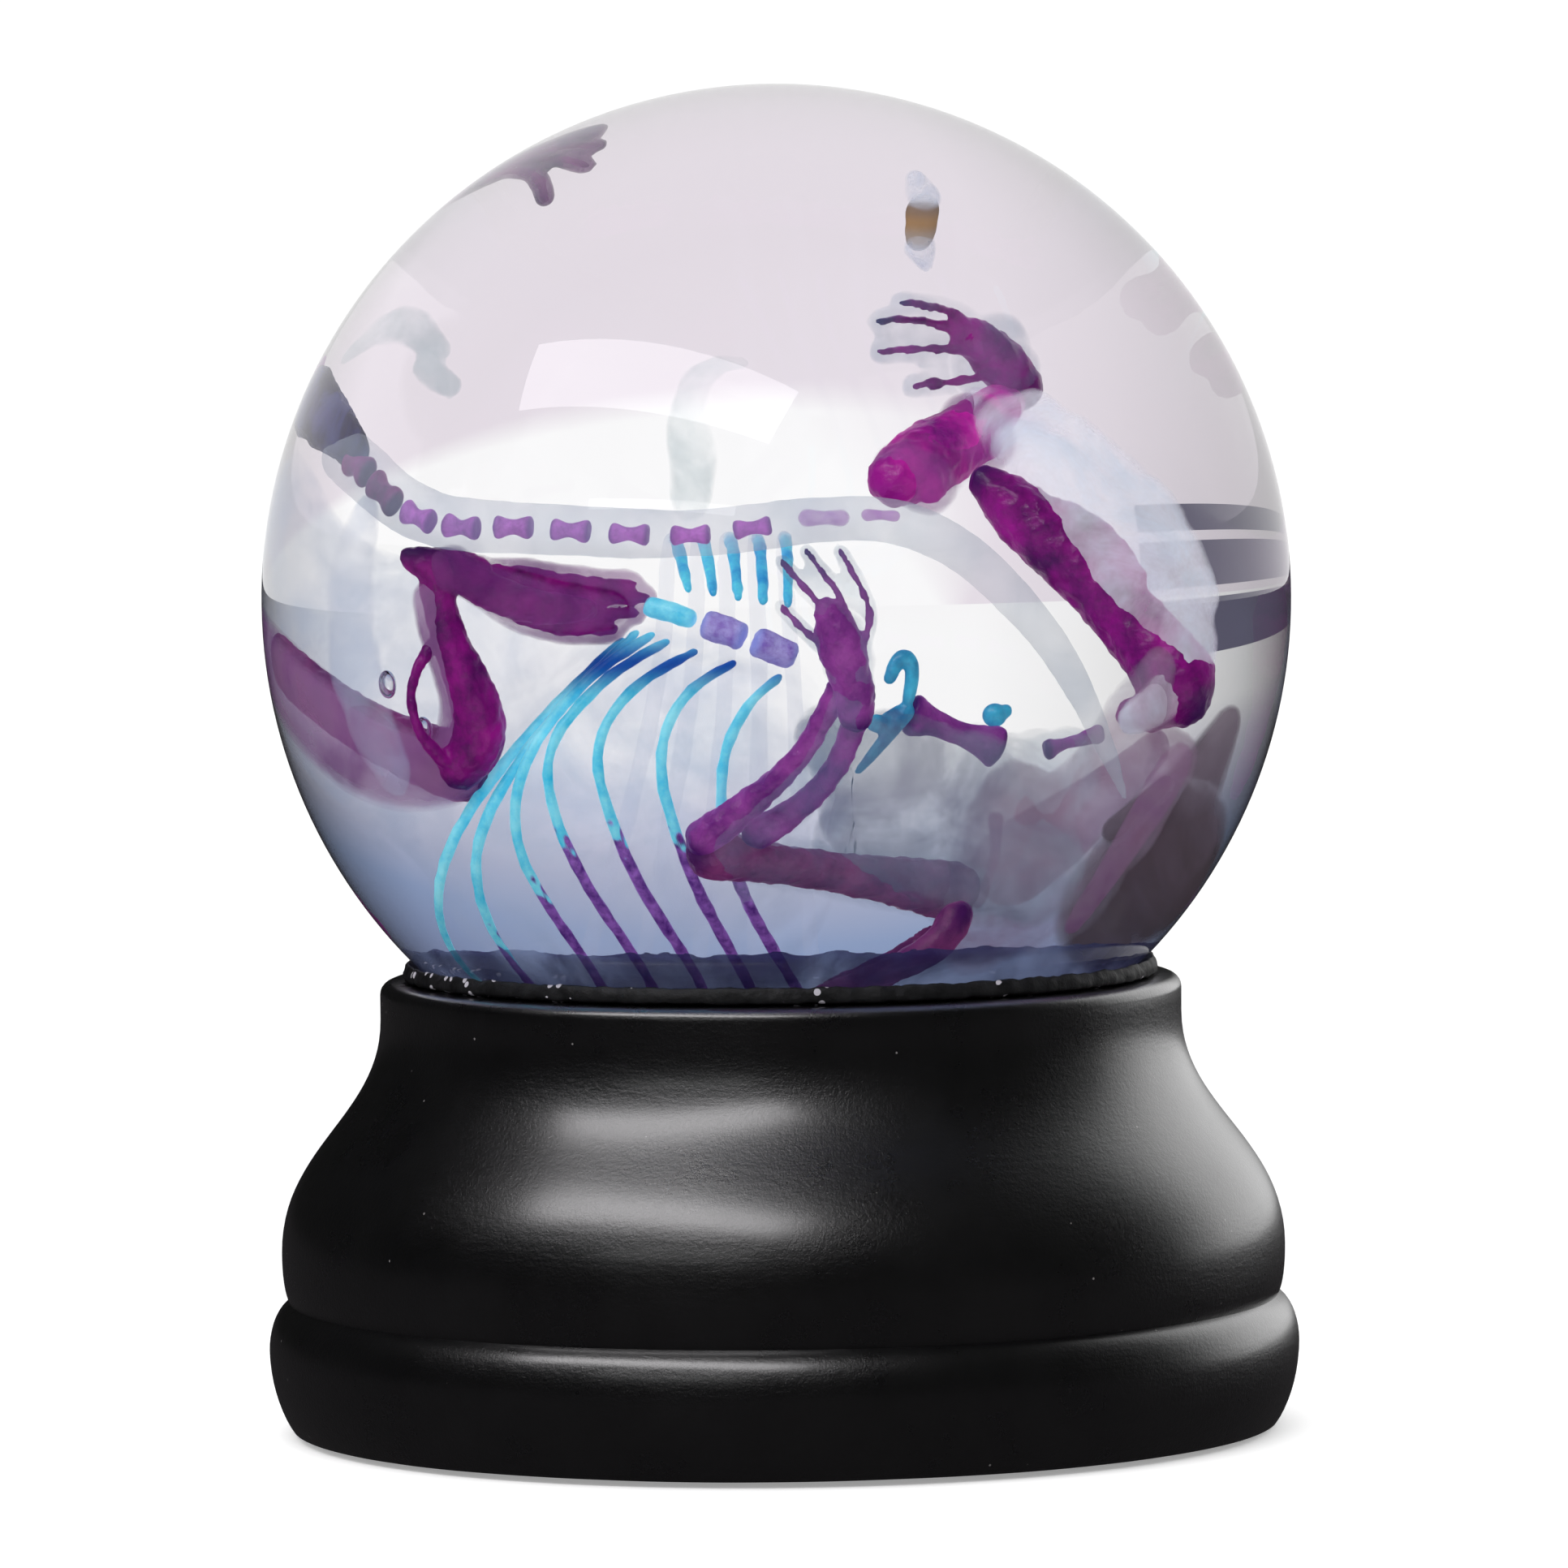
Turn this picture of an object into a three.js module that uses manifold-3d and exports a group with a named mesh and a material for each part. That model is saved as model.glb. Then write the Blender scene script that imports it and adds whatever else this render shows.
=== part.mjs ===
// Liquid-filled glass globe on a turned black base, holding a cleared and stained rodent specimen.
// Millimetres, +Z up. The origin is on the floor, at the middle of the felt pad. The front faces -Y.

import * as THREE from 'three';
import Module from 'manifold-3d';
import { mergeVertices } from 'three/addons/utils/BufferGeometryUtils.js';

const wasm = await Module();
wasm.setup();

// ---- Driving dimensions ----------------------------------------------------------------------

const GLOBE_R = 50;          // outside radius of the glass
const GLOBE_WALL = 2;        // glass thickness
const SEAT_R = 33.8;         // radius of the glass where it meets the rim's plane
const NECK_R = 29.5;         // outside of the glass neck
const NECK_WALL = 3;
const NECK_LENGTH = 9.6;

const BASE_HEIGHT = 44.1;    // floor to rim
const RIM_R = 39;
const RIM_EDGE = 1.2;        // rounding of the rim's outer edge
const RIM_COLLAR = 3.6;      // straight stretch under the rim
const BULGE_R = 48.9;
const BULGE_Z = 17.8;
const GROOVE_R = 48.2;
const GROOVE_Z = 13;
const FOOT_R = 50.2;
const FOOT_Z = 8.3;
const FOOT_BOTTOM_R = 48;
const FOOT_LIFT = 0.6;       // the felt stands this far below the foot
const WELL_FLOOR = 5.6;      // disc that closes the globe's well from below
const WELL_FLOOR_HOLE_R = 10;
const HOLLOW_R = 40;         // hollow underside, up to the well's shoulder
const COVER_R = 42.7;
const COVER_THICKNESS = 2.4;
const FELT_R = 42.3;
const FELT_THICKNESS = 1.2;
const BEAD_RISE = 1.9;       // how far the sealing bead stands above the rim
const BEAD_DROP = 1.5;       // how far it reaches down beside the glass

const FLANGE_THICKNESS = 2.7;
const PLATFORM_RISE = 0.5;   // stopper's top above the neck's inner end
const BLEED_BORE_R = 4;
const BLEED_HEAD_R = 7;
const BLEED_HEAD = 2;

const GAP = 0.3;             // clearance between pieces that touch
const WELL_CLEARANCE = 1.2;  // glass to well wall at the rim
const FILL_GAP = 0.6;        // facets of the liquid's skin to facets of the glass
const FILL_SKIN = 1.2;       // thickness that stands for the liquid round the specimen

const ROUND = 32;            // facets round the large pieces
const BEND = 4;              // steps on each curved stretch of an outline

// ---- Sizes that follow -----------------------------------------------------------------------

const innerR = GLOBE_R - GLOBE_WALL;
const neckInnerR = NECK_R - NECK_WALL;
const wellR = SEAT_R + WELL_CLEARANCE;
const drop = (radius, at) => Math.sqrt(radius * radius - at * at);
const globeZ = BASE_HEIGHT + drop(GLOBE_R, SEAT_R);
const neckTopZ = globeZ - drop(GLOBE_R, NECK_R);
const neckMouthZ = neckTopZ - NECK_LENGTH;
const flangeZ = neckMouthZ - GAP - FLANGE_THICKNESS;
const wellFloorZ = flangeZ - GAP;
const platformZ = globeZ - drop(innerR, neckInnerR) + PLATFORM_RISE;
const coverZ = FELT_THICKNESS + GAP;
const ledgeZ = coverZ + COVER_THICKNESS + GAP;

// ---- Colours ---------------------------------------------------------------------------------

const finish = (color, roughness, more = {}) =>
  new THREE.MeshStandardMaterial({ color, roughness, metalness: 0, ...more });
const BLACK = finish(0x0b0b0c, 0.45);
const BOARD = finish(0x4a3b2c, 0.9);
const FELT = finish(0x1a1a1c, 0.95);
const RUBBER = finish(0x151517, 0.7);
const GLASS = finish(0xeef4f8, 0.02, { transparent: true, opacity: 0.25 });
const LIQUID = finish(0xf6f4f8, 0.02, { transparent: true, opacity: 0.1 });
const BONE = finish(0x7a1f78, 0.45);
const CARTILAGE = finish(0x2aa6c4, 0.45);
const CHIP = finish(0xb9905e, 0.7);

// ---- Makers ----------------------------------------------------------------------------------

const model = new THREE.Group();
const globeUnit = new THREE.Group();
globeUnit.position.z = globeZ;
model.add(globeUnit);
const specimen = new THREE.Group();
globeUnit.add(specimen);

// The animal is picked to fill its globe, so its drawn places grow and shrink with the cavity.
const DRAWN_INNER_R = 48;
specimen.scale.setScalar(innerR / DRAWN_INNER_R);

function place(parent, name, geometry, material) {
  const mesh = new THREE.Mesh(geometry, material);
  mesh.name = name;
  parent.add(mesh);
  return mesh;
}

function turned(outline, facets = ROUND) {
  return new THREE.LatheGeometry(outline, facets).rotateX(Math.PI / 2);
}

const v2 = (pairs) => pairs.map(([r, z]) => new THREE.Vector2(r, z));
const v3 = (places) => places.map(([x, y, z]) => new THREE.Vector3(x, y, z));

// A turned outline laid along a curve through the places given. Each stop is [share of the length,
// share of the radius]. The section is stretched by wide across the flatwise direction.
function along(places, stops, radius, { sides = 8, wide = 1, flatwise = [0, 0, 1] } = {}) {
  const curve = new THREE.CatmullRomCurve3(v3(places));
  const geometry = new THREE.LatheGeometry(v2(stops.map(([t, r]) => [r * radius, t])), sides);
  const frames = new Map();
  const side = new THREE.Vector3(...flatwise);
  for (const [t] of stops) {
    const tangent = curve.getTangentAt(t);
    side.addScaledVector(tangent, -side.dot(tangent)).normalize();
    const across = new THREE.Vector3().crossVectors(side, tangent);
    frames.set(Math.fround(t), { centre: curve.getPointAt(t), side: side.clone(), across });
  }
  const position = geometry.attributes.position;
  const p = new THREE.Vector3();
  for (let i = 0; i < position.count; i += 1) {
    const { centre, side: s, across } = frames.get(position.getY(i));
    p.copy(centre).addScaledVector(s, position.getX(i) * wide).addScaledVector(across, position.getZ(i));
    position.setXYZ(i, p.x, p.y, p.z);
  }
  return geometry;
}

function solid(geometry) {
  const bare = geometry.clone();
  bare.deleteAttribute('normal');
  bare.deleteAttribute('uv');
  const merged = mergeVertices(bare, 1e-5);
  const tri = [];
  const index = merged.index.array;
  for (let i = 0; i < index.length; i += 3) {
    const [a, b, c] = [index[i], index[i + 1], index[i + 2]];
    if (a !== b && b !== c && c !== a) tri.push(a, b, c);
  }
  const triVerts = new Uint32Array(tri);
  const vertProperties = merged.attributes.position.array;
  return new wasm.Manifold(new wasm.Mesh({ numProp: 3, vertProperties, triVerts }));
}

function joined(geometries) {
  const mesh = geometries.map(solid).reduce((sum, next) => sum.add(next)).getMesh();
  const geometry = new THREE.BufferGeometry();
  geometry.setAttribute('position', new THREE.BufferAttribute(mesh.vertProperties, 3));
  geometry.setIndex(new THREE.BufferAttribute(mesh.triVerts, 1));
  return geometry;
}

// ---- Base ------------------------------------------------------------------------------------

function baseBody() {
  const outline = new THREE.Path();
  outline.moveTo(FOOT_BOTTOM_R, FOOT_LIFT);
  outline.bezierCurveTo(FOOT_R - 1, FOOT_LIFT + 1.6, FOOT_R, FOOT_Z - 2.9, FOOT_R, FOOT_Z);
  outline.bezierCurveTo(FOOT_R, FOOT_Z + 1.9, GROOVE_R + 1.4, GROOVE_Z - 0.8, GROOVE_R, GROOVE_Z);
  outline.bezierCurveTo(GROOVE_R + 0.5, GROOVE_Z + 1, BULGE_R, BULGE_Z - 2.2, BULGE_R, BULGE_Z);
  const collarZ = BASE_HEIGHT - RIM_COLLAR;
  outline.bezierCurveTo(BULGE_R, BULGE_Z + 10.2, RIM_R, collarZ - 9.5, RIM_R, collarZ);
  outline.lineTo(RIM_R, BASE_HEIGHT - RIM_EDGE);
  outline.absarc(RIM_R - RIM_EDGE, BASE_HEIGHT - RIM_EDGE, RIM_EDGE, 0, Math.PI / 2, false);
  outline.lineTo(wellR, BASE_HEIGHT);
  outline.lineTo(wellR, wellFloorZ + GAP);
  outline.lineTo(HOLLOW_R, wellFloorZ + GAP);
  outline.lineTo(HOLLOW_R, ledgeZ);
  outline.lineTo(COVER_R + GAP, ledgeZ);
  outline.lineTo(COVER_R + GAP, FOOT_LIFT);
  outline.lineTo(FOOT_BOTTOM_R, FOOT_LIFT);
  place(model, 'base_body', turned(outline.getPoints(BEND)), BLACK);
}

// The disc is glued up against the shoulder under the well. Its hole gives the bleed plug room.
function wellFloor() {
  const radius = HOLLOW_R - GAP;
  const low = wellFloorZ - WELL_FLOOR;
  const outline = v2([
    [WELL_FLOOR_HOLE_R, low],
    [radius, low],
    [radius, wellFloorZ],
    [WELL_FLOOR_HOLE_R, wellFloorZ],
    [WELL_FLOOR_HOLE_R, low],
  ]);
  place(model, 'well_floor', turned(outline), BOARD);
}

function disc(name, radius, low, high, material) {
  place(model, name, turned(v2([[0, low], [radius, low], [radius, high], [0, high]])), material);
}

function sealingBead() {
  const glass = (z) => drop(GLOBE_R + GAP, globeZ - z);
  const low = BASE_HEIGHT - BEAD_DROP;
  const seat = BASE_HEIGHT + GAP;
  const top = BASE_HEIGHT + BEAD_RISE;
  const wall = wellR - GAP;
  const crest = glass(top);
  const outline = v2([
    [glass(low), low],
    [wall, low],
    [wall, seat],
    [crest + 0.7, seat],
    [crest + 0.9, (seat + top) / 2],
    [crest + 0.4, top],
    [crest, top],
    [glass(seat), seat],
    [glass(low), low],
  ]);
  place(model, 'sealing_bead', turned(outline), RUBBER);
}

// ---- Globe unit (heights from the globe's centre) ----------------------------------------------

function glassGlobe() {
  const mouth = neckMouthZ - globeZ;
  const outerStart = -Math.acos(NECK_R / GLOBE_R);
  const innerEnd = -Math.acos(neckInnerR / innerR);
  const outline = new THREE.Path();
  outline.moveTo(neckInnerR, mouth);
  outline.lineTo(NECK_R, mouth);
  outline.absarc(0, 0, GLOBE_R, outerStart, Math.PI / 2, false);
  outline.lineTo(0, innerR);
  outline.absarc(0, 0, innerR, Math.PI / 2, innerEnd, true);
  outline.lineTo(neckInnerR, mouth);
  const points = outline.getPoints(BEND + 1).map((p) => new THREE.Vector2(Math.max(p.x, 0), p.y));
  points.forEach((p) => { if (p.x < 1e-6) p.x = 0; });
  place(globeUnit, 'glass_globe', turned(points), GLASS);
}

function glycerinFill() {
  const skinOuter = innerR - FILL_GAP;
  const skinInner = skinOuter - FILL_SKIN;
  const floor = platformZ - globeZ + GAP;
  const outerStart = Math.asin(floor / skinOuter);
  const innerEnd = Math.asin(floor / skinInner);
  const outline = new THREE.Path();
  outline.moveTo(drop(skinInner, floor), floor);
  outline.lineTo(drop(skinOuter, floor), floor);
  outline.absarc(0, 0, skinOuter, outerStart, Math.PI / 2, false);
  outline.lineTo(0, skinInner);
  outline.absarc(0, 0, skinInner, Math.PI / 2, innerEnd, true);
  const points = outline.getPoints(BEND + 1);
  points.forEach((p) => { if (p.x < 1e-6) p.x = 0; });
  points.push(points[0].clone());
  place(globeUnit, 'glycerin_fill', turned(points), LIQUID);
}

function stopper() {
  const plugR = neckInnerR - GAP;
  const flangeR = NECK_R - GAP;
  const flangeTop = neckMouthZ - GAP - globeZ;
  const bottom = flangeZ - globeZ;
  const top = platformZ - globeZ;
  const outline = v2([
    [BLEED_BORE_R, bottom],
    [flangeR, bottom],
    [flangeR, flangeTop],
    [plugR, flangeTop],
    [plugR, top - 1],
    [plugR - 1, top],
    [BLEED_BORE_R, top],
    [BLEED_BORE_R, bottom],
  ]);
  place(globeUnit, 'stopper', turned(outline), RUBBER);
}

function bleedPlug() {
  const headTop = flangeZ - globeZ - GAP;
  const shankR = BLEED_BORE_R - GAP;
  const outline = v2([
    [0, headTop - BLEED_HEAD],
    [BLEED_HEAD_R, headTop - BLEED_HEAD],
    [BLEED_HEAD_R, headTop],
    [shankR, headTop],
    [shankR, platformZ - globeZ - 1],
    [shankR - 0.6, platformZ - globeZ - GAP],
    [0, platformZ - globeZ - GAP],
  ]);
  place(globeUnit, 'bleed_plug', turned(outline, 20), RUBBER);
}

// ---- Specimen (places from the globe's centre, in the drawn globe) ------------------------------

// Outlines as [share of the length, share of the radius].
const LONG_BONE = [
  [0, 0], [0.02, 0.75], [0.08, 1], [0.22, 0.62], [0.5, 0.46], [0.78, 0.62], [0.92, 1], [0.98, 0.75], [1, 0],
];
const THIGH = [[0, 0], [0.02, 0.7], [0.1, 0.95], [0.4, 0.8], [0.7, 0.86], [0.9, 1], [0.98, 0.7], [1, 0]];
const VERTEBRA = [
  [0, 0], [0.03, 0.95], [0.16, 1], [0.38, 0.58], [0.62, 0.58], [0.84, 1], [0.97, 0.95], [1, 0],
];
const DIGIT = [
  [0, 0], [0.03, 1.1], [0.3, 0.75], [0.44, 1.25], [0.57, 0.7], [0.7, 1.15],
  [0.84, 0.65], [0.95, 0.95], [1, 0],
];
const BLOCK = [[0, 0], [0.04, 0.8], [0.15, 1], [0.5, 0.9], [0.85, 1], [0.96, 0.8], [1, 0]];
const BLADE = [[0, 0], [0.04, 0.45], [0.2, 0.5], [0.5, 0.75], [0.8, 1], [0.95, 0.8], [1, 0]];
const SKULL = [
  [0, 0], [0.03, 0.22], [0.16, 0.36], [0.32, 0.5], [0.45, 0.72], [0.6, 0.96],
  [0.75, 1], [0.88, 0.86], [0.97, 0.5], [1, 0],
];

const rod = (steps, taper = 0.7) => {
  const stops = [[0, 0]];
  for (let i = 0; i <= steps; i += 1) {
    stops.push([0.01 + 0.98 * (i / steps), 1 - (1 - taper) * Math.abs(1 - (2 * i) / steps)]);
  }
  stops.push([1, 0]);
  return stops;
};

// A row of beads, each wide at its ends and waisted in the middle.
const beads = (count, waist = 0.72) => {
  const stops = [[0, 0], [0.004, 0.8]];
  for (let i = 0; i < count; i += 1) {
    stops.push([(i + 0.22) / count, 1], [(i + 0.6) / count, waist]);
  }
  stops.push([0.996, 0.8], [1, 0]);
  return stops;
};

function bone(name, places, stops, radius, options = {}) {
  place(specimen, name, along(places, stops, radius, options), options.material ?? BONE);
}

const TAIL = [
  [-38, -15, 14], [-36.5, -21, 12.8], [-33, -27.4, 9.4], [-28, -33, 8.1], [-23, -36, 8.2], [-15, -39, 7.7],
  [-7, -41, 7.5], [1, -41.4, 8.5], [9.5, -40, 9.2], [16, -38, 6.6],
];
const TAIL_BONES = 9;
const TAIL_PITCH = 5.6;

function tail() {
  const curve = new THREE.CatmullRomCurve3(v3(TAIL));
  const length = curve.getLength();
  for (let i = 0; i < TAIL_BONES; i += 1) {
    const start = 3.2 + i * TAIL_PITCH;
    const size = 4.3 - 0.1 * i;
    const places = [0, 0.5, 1].map((t) => curve.getPointAt((start + t * size) / length).toArray());
    bone(`caudal_${String(i + 1).padStart(2, '0')}`, places, VERTEBRA, 1.35 - 0.05 * i);
  }
}

function spine() {
  bone('sacrum', [[-37, 4, 20], [-39.5, -4, 17.4], [-38.4, -11, 15.4]], beads(4), 1.9);
  bone('lumbar_spine', [[-37, 15, 14.5], [-38.5, 17, 4], [-36, 17, -8], [-31, 13, -19], [-25.8, 7.5, -26.5]],
    beads(7), 2);
  bone('thoracic_spine', [[-24, 5, -28.6], [-17, 1, -33], [-8, -1, -35.2], [1, -1, -35.6], [8, 1, -34.8]],
    beads(12), 1.75);
  bone('cervical_spine', [[9.6, 1.6, -34.4], [13, 3, -33.2], [15.4, 3.8, -31.6]], beads(4), 1.8);
}

function head() {
  bone('skull', [[34, -3, -9.6], [28.4, -1, -16.6], [21, 3.4, -26.4]], SKULL, 5.8,
    { sides: 14, flatwise: [0.7, 0, 0.7] });
  bone('lower_jaw', [[22, -8.4, -26], [27, -10.6, -19.5], [32, -9, -11]], BLADE, 2.2,
    { wide: 0.45, flatwise: [0, 1, 0] });
}

function pelvis() {
  bone('pelvis_left', [[-38.5, 9.5, 18.5], [-41, 10.5, 8], [-42, 9.5, -2]], BLADE, 2.6,
    { wide: 0.5, flatwise: [1, 0, 0] });
  bone('pelvis_right', [[-31, 10, 24], [-33.6, 15, 20], [-35.6, 19.4, 14.6]], BLADE, 2.6,
    { wide: 0.5, flatwise: [1, 0, 0] });
}

function sternum() {
  bone('xiphoid', [[-10.2, -21.4, 0.5], [-8.2, -22.4, 0], [-6.4, -23.2, -0.6]],
    BLOCK, 0.8, { material: CARTILAGE });
  bone('sternebra_1', [[-5.8, -23.6, -0.8], [-2.5, -24.6, -2]], BLOCK, 1.3);
  bone('sternebra_2', [[-1.9, -24.8, -2.2], [1.5, -24, -3.6]], BLOCK, 1.3);
  bone('manubrium', [[9.8, -17.6, -8], [13.2, -15.6, -9.4], [16.8, -13.4, -10.9]],
    LONG_BONE, 1.9, { flatwise: [0, 1, 0], wide: 0.7 });
}

// Each rib runs from the breastbone out to its bend and back under the body to the spine.
const LEFT_RIBS = [
  [[0.4, -24.6, -5], [-2.2, -26.4, -6.8], [-4.6, -27, -12], [-4, -24, -20], [0, -17, -28], [3.4, -8, -32.6]],
  [[-3.2, -24.8, -3.9], [-6.6, -26.6, -5.4], [-10, -28, -11], [-9, -27, -16], [-7, -24, -22], [-3, -17, -29],
    [-0.6, -8, -33]],
  [[-6.2, -23.6, -3], [-10, -26, -4.6], [-15.4, -28, -10.4], [-14.3, -27, -15.5], [-12, -24, -21.5],
    [-7, -18, -29], [-4.6, -8, -33]],
  [[-8.4, -22.8, -2.2], [-12.4, -25.4, -4], [-19.8, -27, -12], [-19, -26.6, -16.5], [-16.5, -24.5, -22],
    [-10.8, -18, -30], [-8.6, -8, -33]],
  [[-9.4, -22, -1.6], [-14.6, -24, -4.6], [-21.6, -26, -13], [-22.6, -25.4, -19], [-20, -23, -24],
    [-15, -17, -30.4], [-12.6, -7, -32.8]],
  [[-10.6, -20.8, -1.4], [-16.4, -22, -6.6], [-24.2, -24, -16.2], [-26.4, -22.4, -22], [-24.8, -19, -27.2],
    [-20.8, -13, -31], [-16.6, -5, -32]],
  [[-11.6, -19.4, -2], [-18, -20.6, -7.8], [-27, -21.8, -18], [-30.2, -19.4, -25], [-28, -12, -29.4],
    [-21.8, -3, -30.4]],
];
const RIGHT_RIBS = 5;

function ribs() {
  LEFT_RIBS.forEach((places, i) => {
    bone(`rib_left_${i + 1}`, places, rod(10), 0.5, { sides: 5, material: CARTILAGE });
  });
  for (let i = 0; i < RIGHT_RIBS; i += 1) {
    const back = 3.9 * i;
    const places = [
      [0.9 - 1.9 * i, -21.6 + 0.5 * i, 0.2 + 0.3 * i],
      [0.9 - 2 * i, -14, 4.4],
      [0.4 - 1.9 * i, -1, 3.8],
      [1 - 2 * i, 11, -5],
      [1.4 - 2.8 * i, 14, -17],
      [2.6 - back, 10.5, -27],
      [4.6 - back, 3.4, -33 + 0.45 * i],
    ];
    bone(`rib_right_${i + 1}`, places, rod(10), 0.5, { sides: 5, material: CARTILAGE });
  }
}

function shoulders() {
  bone('scapula_left', [[12.6, -12.6, -24.6], [8, -13, -28.6], [3, -13, -31.6]], BLADE, 2.4,
    { wide: 0.3, flatwise: [0, 1, 0] });
  bone('scapula_right', [[26.6, 1.5, -9.6], [20, 5.5, -14], [12, 8.5, -18.5]],
    BLADE, 3, { wide: 0.3, flatwise: [0, 1, 0] });
  bone('clavicle_left', [[16.4, -13, -15.6], [16.2, -13, -20.6], [14.8, -13.2, -23.4]],
    LONG_BONE, 0.8, { sides: 6 });
  bone('clavicle_right', [[19.6, -10.4, -11], [21.4, -9, -10.4], [23.4, -6.6, -9.6]],
    LONG_BONE, 0.9, { sides: 6 });
}

function arms() {
  bone('humerus_left', [[-3, -25.4, -20], [5, -20.4, -20.9], [12.2, -13.6, -21.6]], LONG_BONE, 2);
  bone('radius_left', [[7.2, -30.6, -7.9], [4.8, -28.8, -13.8], [1, -27.6, -17], [-2, -27, -18]],
    LONG_BONE, 1.15);
  bone('ulna_left', [[4.7, -31.8, -7.9], [1.6, -30.8, -12.2], [-2.6, -29.2, -15.8], [-6.4, -27.6, -18.6]],
    LONG_BONE, 1.2);
  bone('humerus_right', [[28.4, -4.4, -5.2], [23, -4, 0.4], [17.8, -3.8, 5.4]], LONG_BONE, 3.3);
  const radius = along([[8.4, -3, 8.4], [10.4, 1, 9.8], [13, 5.4, 11]], LONG_BONE, 1.6);
  const ulna = along([[10, -3.2, 7.6], [12, 1.4, 8.6], [13.8, 5.4, 10]], LONG_BONE, 1.6);
  place(specimen, 'forearm_right', joined([radius, ulna]), BONE);
}

function legs() {
  bone('femur_left', [[-40.6, -4, -4.6], [-37, -11.6, -7.8], [-31.4, -17, -11], [-26.6, -19.8, -12.4]],
    THIGH, 3.6);
  bone('tibia_left', [[-28.8, -25.4, 0.8], [-28, -25.4, -2.4], [-25.4, -25, -6.6], [-23.4, -24, -10.4]],
    LONG_BONE, 1.7);
  bone('femur_right', [[-33.4, 25, 9.6], [-31.6, 24.6, 17], [-29, 20, 24.5]], LONG_BONE, 2);
  bone('tibia_right', [[-28.6, 17, 26.6], [-28, 10, 31], [-24.6, 3.5, 34.4]], LONG_BONE, 1.5);
}

// A paw is one piece: a wrist or ankle block with its digits, each knuckled.
function paw(name, wrist, palmR, digits, digitR) {
  const palm = new THREE.IcosahedronGeometry(palmR, 1);
  palm.translate(...wrist);
  const fingers = digits.map((places) => along([wrist, ...places], DIGIT, digitR, { sides: 5 }));
  place(specimen, name, joined([palm, ...fingers]), BONE);
}

function paws() {
  paw('forepaw_left', [6.2, -32.4, -4.8], 1.75, [
    [[8, -33.6, -0.2], [6.9, -34, 2.9], [5.2, -34.6, 6]],
    [[5.9, -34, 0.8], [4, -34.5, 3.6], [2.3, -35, 6]],
    [[4.6, -34, -0.2], [2.4, -34.6, 2.4], [0.2, -35, 5.1]],
    [[3.6, -33.4, -2.4], [1.9, -33.8, -0.8], [0.1, -34, 1.2]],
  ], 0.42);
  paw('forepaw_right', [14.9, 8, 13.9], 1.4, [
    [[12.4, 5.6, 17.6], [10.6, 3, 19.1], [8.4, 0, 20.1]],
    [[12.2, 5.4, 16.8], [9.1, 3, 18.2], [6.8, 0, 18.7]],
    [[12.2, 5.4, 15.6], [9.6, 3, 16.2], [6.8, 0, 16.5]],
    [[13, 5.2, 13.8], [10.8, 3, 13.9], [9, 0, 14.2]],
    [[15, 6, 12.8], [14.8, 5, 12.2]],
  ], 0.42);
  paw('hind_paw_left', [-27.4, -26, 3.9], 1.6, [
    [[-20.6, -23.8, 3.4], [-15, -22.4, 2.4], [-10.4, -21, 2.2]],
    [[-20.4, -23.6, 2.2], [-14.8, -22.2, 1.2], [-9.4, -20.6, 1.1]],
    [[-20.6, -23.4, 1], [-15.2, -22, -0.2], [-10.2, -20.4, 0]],
    [[-21, -23.2, -0.2], [-16.2, -22, -1.4], [-11.8, -20.6, -1.2]],
  ], 0.72);
  paw('hind_paw_right', [-23.4, 1.6, 35.4], 1.5, [
    [[-18.6, 0.6, 37.6], [-15.6, 0, 37.6], [-13.4, -0.4, 36.8]],
    [[-18.4, 0.4, 36.4], [-15.2, 0, 35.8], [-12.8, -0.4, 34.8]],
    [[-18.6, 0, 35.2], [-15.6, -0.6, 34], [-13.6, -1.2, 32.6]],
    [[-19, -1.4, 34], [-17.8, -2.6, 32.4], [-17.2, -3.6, 30.4]],
  ], 0.5);
}

// A loose fragment that drifts in the liquid near the top.
function chip() {
  const flake = new THREE.IcosahedronGeometry(1, 1).scale(1.3, 0.7, 2.5).rotateY(0.25);
  place(specimen, 'drifting_chip', flake.translate(10, 4, 25), CHIP);
}

baseBody();
wellFloor();
disc('bottom_cover', COVER_R, coverZ, coverZ + COVER_THICKNESS, BOARD);
disc('felt_pad', FELT_R, 0, FELT_THICKNESS, FELT);
sealingBead();
glassGlobe();
glycerinFill();
stopper();
bleedPlug();
tail();
spine();
head();
pelvis();
sternum();
ribs();
shoulders();
arms();
legs();
paws();
chip();

export default model;
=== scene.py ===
# %% [markdown]
# A glass globe full of liquid stands on a turned black base. A small rodent floats curled inside it, cleared
# and stained: its bone is magenta-purple, its cartilage cyan-blue, and its soft tissue almost clear.
# This lesson loads the fixed frame, then makes each piece in the order in which a model maker would:
# camera and stage, finishes, base, glass and liquid, bones, clear tissue, and last the small things.

import math

import bpy
import numpy as np
from mathutils import Matrix, Vector


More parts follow.
